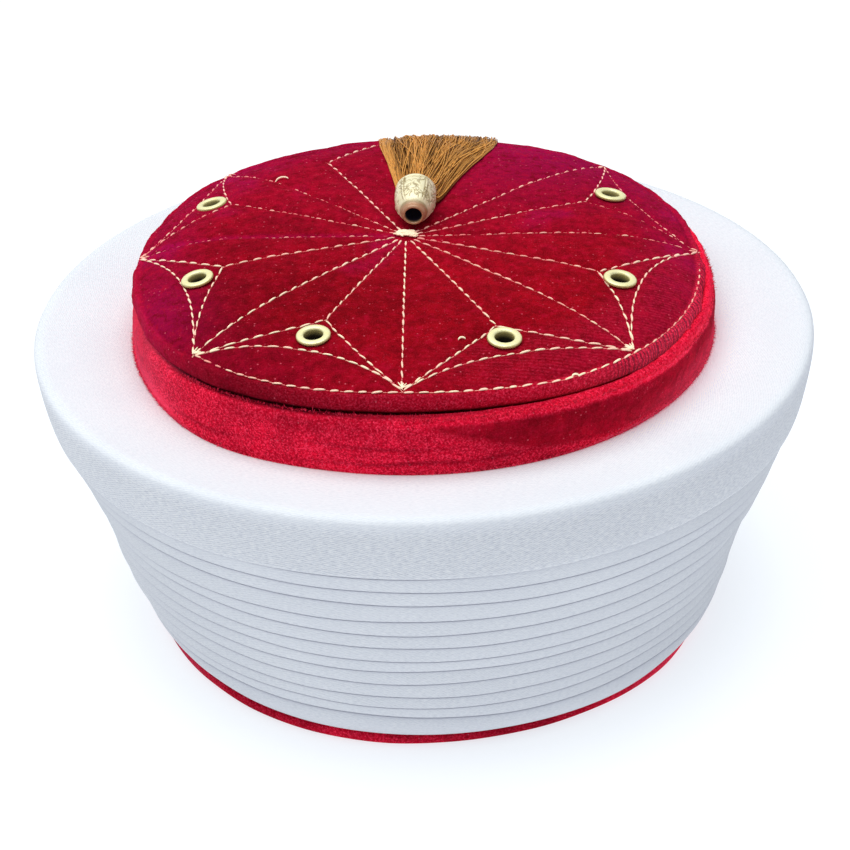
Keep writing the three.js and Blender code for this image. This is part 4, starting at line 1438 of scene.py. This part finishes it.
def tassel(material):
    """Thin threads fanned from the bead over the panel, down its edge and onto the shelf. Each
    keeps its own place across the fan and in its thickness, and wanders a little."""
    fan_steps = 19
    at = np.linspace(0, 1, fan_steps) * (len(TASSEL_FAN) - 1)
    back, middle, half_width, half_depth = (
        np.interp(at, np.arange(len(TASSEL_FAN)), values) for values in TASSEL_FAN.T)
    fall = smooth_line(TASSEL_FALL, 16, closed=False)
    share = np.linspace(0, 1, fan_steps + len(fall))[None, :]
    place, depth, thickness, strand_tone_and_painted_light = thread_places(np.random.default_rng(71), share)

    # Over the panel
    on_fan, in_fan = place[:, :fan_steps], depth[:, :fan_steps]
    x = on_fan * half_width + middle
    round_back = smoothstep(back, 30, 88)
    arc = np.sqrt(np.maximum(back ** 2 + middle ** 2 - x ** 2, 1))
    y = back * (1 - round_back) + arc * round_back
    under = on_top(np.stack([x - PANEL_SHIFT, y], axis=-1))[..., 2]
    raised = BEAD_PLACE[2] - half_depth[0] - CROWN_HEIGHT
    lying = np.interp(back, [20.6, 24, 30], [raised, raised * 0.7, 0.3])
    heap = 1 - 0.75 * on_fan ** 2 * smoothstep(back, 21, 25)
    z = under + 0.25 + lying * heap + half_depth * (1 + in_fan) * heap
    on_panel = np.stack([x, y, z], axis=-1)

    # Down the edge to the shelf
    lie = unit(np.gradient(fall[:, :2], axis=0))
    rise = TASSEL_FALL_DEPTH * (1 + depth[:, fan_steps:])
    radius, height = fall[:, 0] - lie[:, 1] * rise, fall[:, 1] + lie[:, 0] * rise
    x = place[:, fan_steps:] * fall[:, 3] + fall[:, 2]
    over_edge = np.stack([x, np.sqrt(radius ** 2 - x ** 2), height], axis=-1)
    thickness = thickness * (1 - 0.4 * smoothstep(share, 0.95, 1.0))
    tubes("tassel_threads", np.concatenate([on_panel, over_edge], axis=1), thickness, 3,
          [0.2, -0.3, 1.0], material, {"strand_tone_and_painted_light": strand_tone_and_painted_light}, replaces="tassel", slot="thread")


# ---------------------------------------------------------------- white cloth

def add_weave(made, shape):
    """The mark weave: lengths in millimetres along the cloth, from the middle of the back, and
    across it."""
    step = np.linalg.norm(np.diff(shape, axis=0, prepend=shape[:1]), axis=-1)
    down = np.cumsum(step, axis=0)
    from_back = (bearings(shape.shape[1]) - TURN / 4) % TURN
    weave = np.stack([from_back * RIM_RADIUS + 0 * down, down, 0 * down], axis=-1)
    layer = made.data.attributes.new("weave", "FLOAT_VECTOR", "POINT")
    layer.data.foreach_set("vector", weave.astype(np.float32).ravel())


def off_seam(degrees):
    """1 all round but at the middle of the back, where the lengths along the cloth start again."""
    return near_bearing(degrees, 90, 0.9, 2.4)


def cover(material):
    """Smooth upper turn: a thin closed section over the shelf, round the rim and down the band."""
    columns = 560
    inner = COVER_THICKNESS
    start = SHELF_RADIUS + 0.15
    edge_height, edge_radius = COVER_EDGE
    section = smooth_line([
        (start + 0.2, SHELF_HEIGHT - inner + 0.5), (112, 104.7 - inner), (124, 106.6 - inner),
        (RIM_RADIUS - inner - 2, RIM_HEIGHT - inner),
        (RIM_RADIUS - inner, RIM_HEIGHT - inner - 2.4),
        (RIM_RADIUS - inner - 1, RIM_HEIGHT - 14), (edge_radius - 1.0, edge_height + 0.6),
        (edge_radius - 0.5, edge_height - 0.15), (edge_radius + 0.05, edge_height + 0.5),
        (RIM_RADIUS - 2.1, RIM_HEIGHT - 18), (RIM_RADIUS - 0.75, RIM_HEIGHT - 10),
        (RIM_RADIUS, RIM_HEIGHT - RIM_ROUND), (RIM_RADIUS - 0.4, RIM_HEIGHT - 0.8),
        (RIM_RADIUS - RIM_ROUND, RIM_HEIGHT), (124, 106.9), (112, 105.3),
        (start + 1.0, SHELF_HEIGHT + 0.55), (start + 0.1, SHELF_HEIGHT + 0.35),
        (start, SHELF_HEIGHT - 0.4),
    ], 104)
    shape = turned(section, columns)
    angle, height = bearings(columns), shape[..., 2]
    band = smoothstep(height, edge_height - 1, edge_height + 4) * smoothstep(height, 107.2, 100)
    push_out(shape, 0.5 * band * ripple(angle, [(2, 0.25), (5, 0.22), (9, 0.12)], 81))
    lower = smoothstep(height, 96, edge_height)
    shape[..., 2] += lower * ripple(angle, [(2, 0.35), (3, 0.3), (7, 0.15)], 82)
    degrees, height = from_angle(np.degrees(angle), 0), shape[..., 2]
    radial = np.hypot(shape[..., 0], shape[..., 1])
    raised = 0.35 + 0.65 * smoothstep(height, RIM_HEIGHT - 1, RIM_HEIGHT - 6)
    # Painted light and shade (tone): darker down the band, darker beside the wall at the left,
    # lighter beside it at the right, where the wall's shadow falls
    tone = (1.0 - 0.105 * smoothstep(height, RIM_HEIGHT - 1, RIM_HEIGHT - 7)
            - 0.07 * lobe(degrees, -165, 30) * bell(radial, SHELF_RADIUS, 14)
            + 0.42 * bell(degrees, -25, 38) * bell(radial, SHELF_RADIUS, 10))
    made = ring_piece("white_cover", settle(shape), material, "wrap_cover", "cloth",
                      {"raised": raised * off_seam(degrees), "tone": tone})
    add_weave(made, shape)


def lap_edges(angle, degrees):
    """Radius and height round the cap of each lap's lower edge, and last of the cover's."""
    edges = []
    for index, (height, radius) in enumerate(LAPS):
        calm = 0.25 if index == 0 else 1.0
        rise = ripple(angle, [(2, 0.32), (3, 0.25), (5, 0.20), (9, 0.10), (17, 0.05)], 100 + index)
        out = calm * ripple(angle, [(3, 0.14), (7, 0.10), (13, 0.05), (23, 0.03)], 130 + index)
        out = out - 1.9 * lobe(degrees, -172, 34) * bell(height, 62, 22)
        out = out - 1.2 * bell(degrees, -10, 26) * bell(height, 44, 12)
        out = out - LOW_LAPS_IN.get(index, 0) * bell(degrees, -158, 24)
        if index == 0:
            rise = rise - 1.1 / calm * bell(degrees, -45, 20)
        edges.append((radius + out, height + calm * rise))
    edge_height, edge_radius = COVER_EDGE
    return edges + [(edge_radius - 0.1 + 0 * angle, edge_height + 0.4 + 0 * angle)]


def folds(material):
    """Lapped folds: one closed section, stepped outside by its laps.

    Each lap's face runs from its rounded lower edge up to a narrow slit under the next one. The
    edges' heights and radii waver slowly round the cap, each lap in its own way. The mark crease
    paints shade in each slit and under each lap's lower edge, and tone paints the folds darker away
    from the front.
    """
    columns = 440
    angle = bearings(columns)
    degrees = from_angle(np.degrees(angle), 0)
    rows, creases = [], []

    def row(radius, height, crease=0.0):
        rows.append(round_axis(radius, height, angle))
        creases.append(crease)

    edges = lap_edges(angle, degrees)
    row(side_radius(WRAP_FOOT + 1) + 0.3, WRAP_FOOT + 0.6)
    row(side_radius(WRAP_FOOT) + 0.8, edges[0][1] - 0.35)
    for index, ((radius, height), (next_radius, next_height)) in enumerate(zip(edges, edges[1:])):
        # The lap's rounded lower edge, its underside darkened with painted shade (crease)
        row(radius - 0.26, height - 0.02, 0.5 if index else 0.3)
        row(radius - 0.07, height + 0.12, 0.2 if index else 0.1)
        row(radius, height + LAP_ROUND)
        end_radius, end_height = next_radius - 0.42, next_height - 0.32
        belly = 0.10 if index else 1.3
        for share, crease in LAP_FACE:
            swell = belly * 4 * share * (1 - share)
            row(radius + share * (end_radius - radius) + swell,
                height + LAP_ROUND + share * (end_height - height - LAP_ROUND), crease)
        # The slit under the next lap, filled with painted shade (crease)
        row(next_radius - 1.3, next_height - 0.1, 1.0)
        row(next_radius - 1.2, next_height + 0.45, 1.0)
        row(next_radius - 0.6, next_height + 0.08, 0.8)
    inner = COVER_THICKNESS + 0.3
    for radius, height in (
        (RIM_RADIUS - inner - 1.2, RIM_HEIGHT - 14),
        (RIM_RADIUS - inner - 0.2, RIM_HEIGHT - inner - 3),
        (RIM_RADIUS - inner - 2.4, RIM_HEIGHT - inner - 0.3), (112, 104.2 - inner),
        (SHELF_RADIUS + 0.6, SHELF_HEIGHT - inner), (SHELF_RADIUS + 0.35, SHELF_HEIGHT - inner - 1),
        (side_radius(70) + 0.35, 70), (side_radius(37) + 0.35, 37),
    ):
        row(radius, height)
    shape = np.array(rows)
    # Painted shade: the folds darker away from the front (tone)
    tone = 0.92 - 0.09 * near_bearing(degrees, -90, 18, 60)
    made = ring_piece("white_folds", settle(shape), material, "wrap_band", "cloth", {
        "crease": np.array(creases)[:, None], "tone": tone, "raised": 0.55 * off_seam(degrees)})
    add_weave(made, shape)


# ---------------------------------------------------------------- assembly

bpy.context.scene.view_settings.view_transform = "Standard"
make_camera()
make_light()
make_floor()

VELVET = velvet()
TWILL = white_twill()
THREAD = stitch_thread()

cap_side(VELVET)
cap_top(VELVET)
star_stitching(THREAD)
tip_stitching(THREAD)
loose_ends(THREAD)
pile_fuzz(VELVET)
eyelets(pale_brass())
bead(cast_gold())
tassel(tassel_thread())
cover(TWILL)
folds(TWILL)
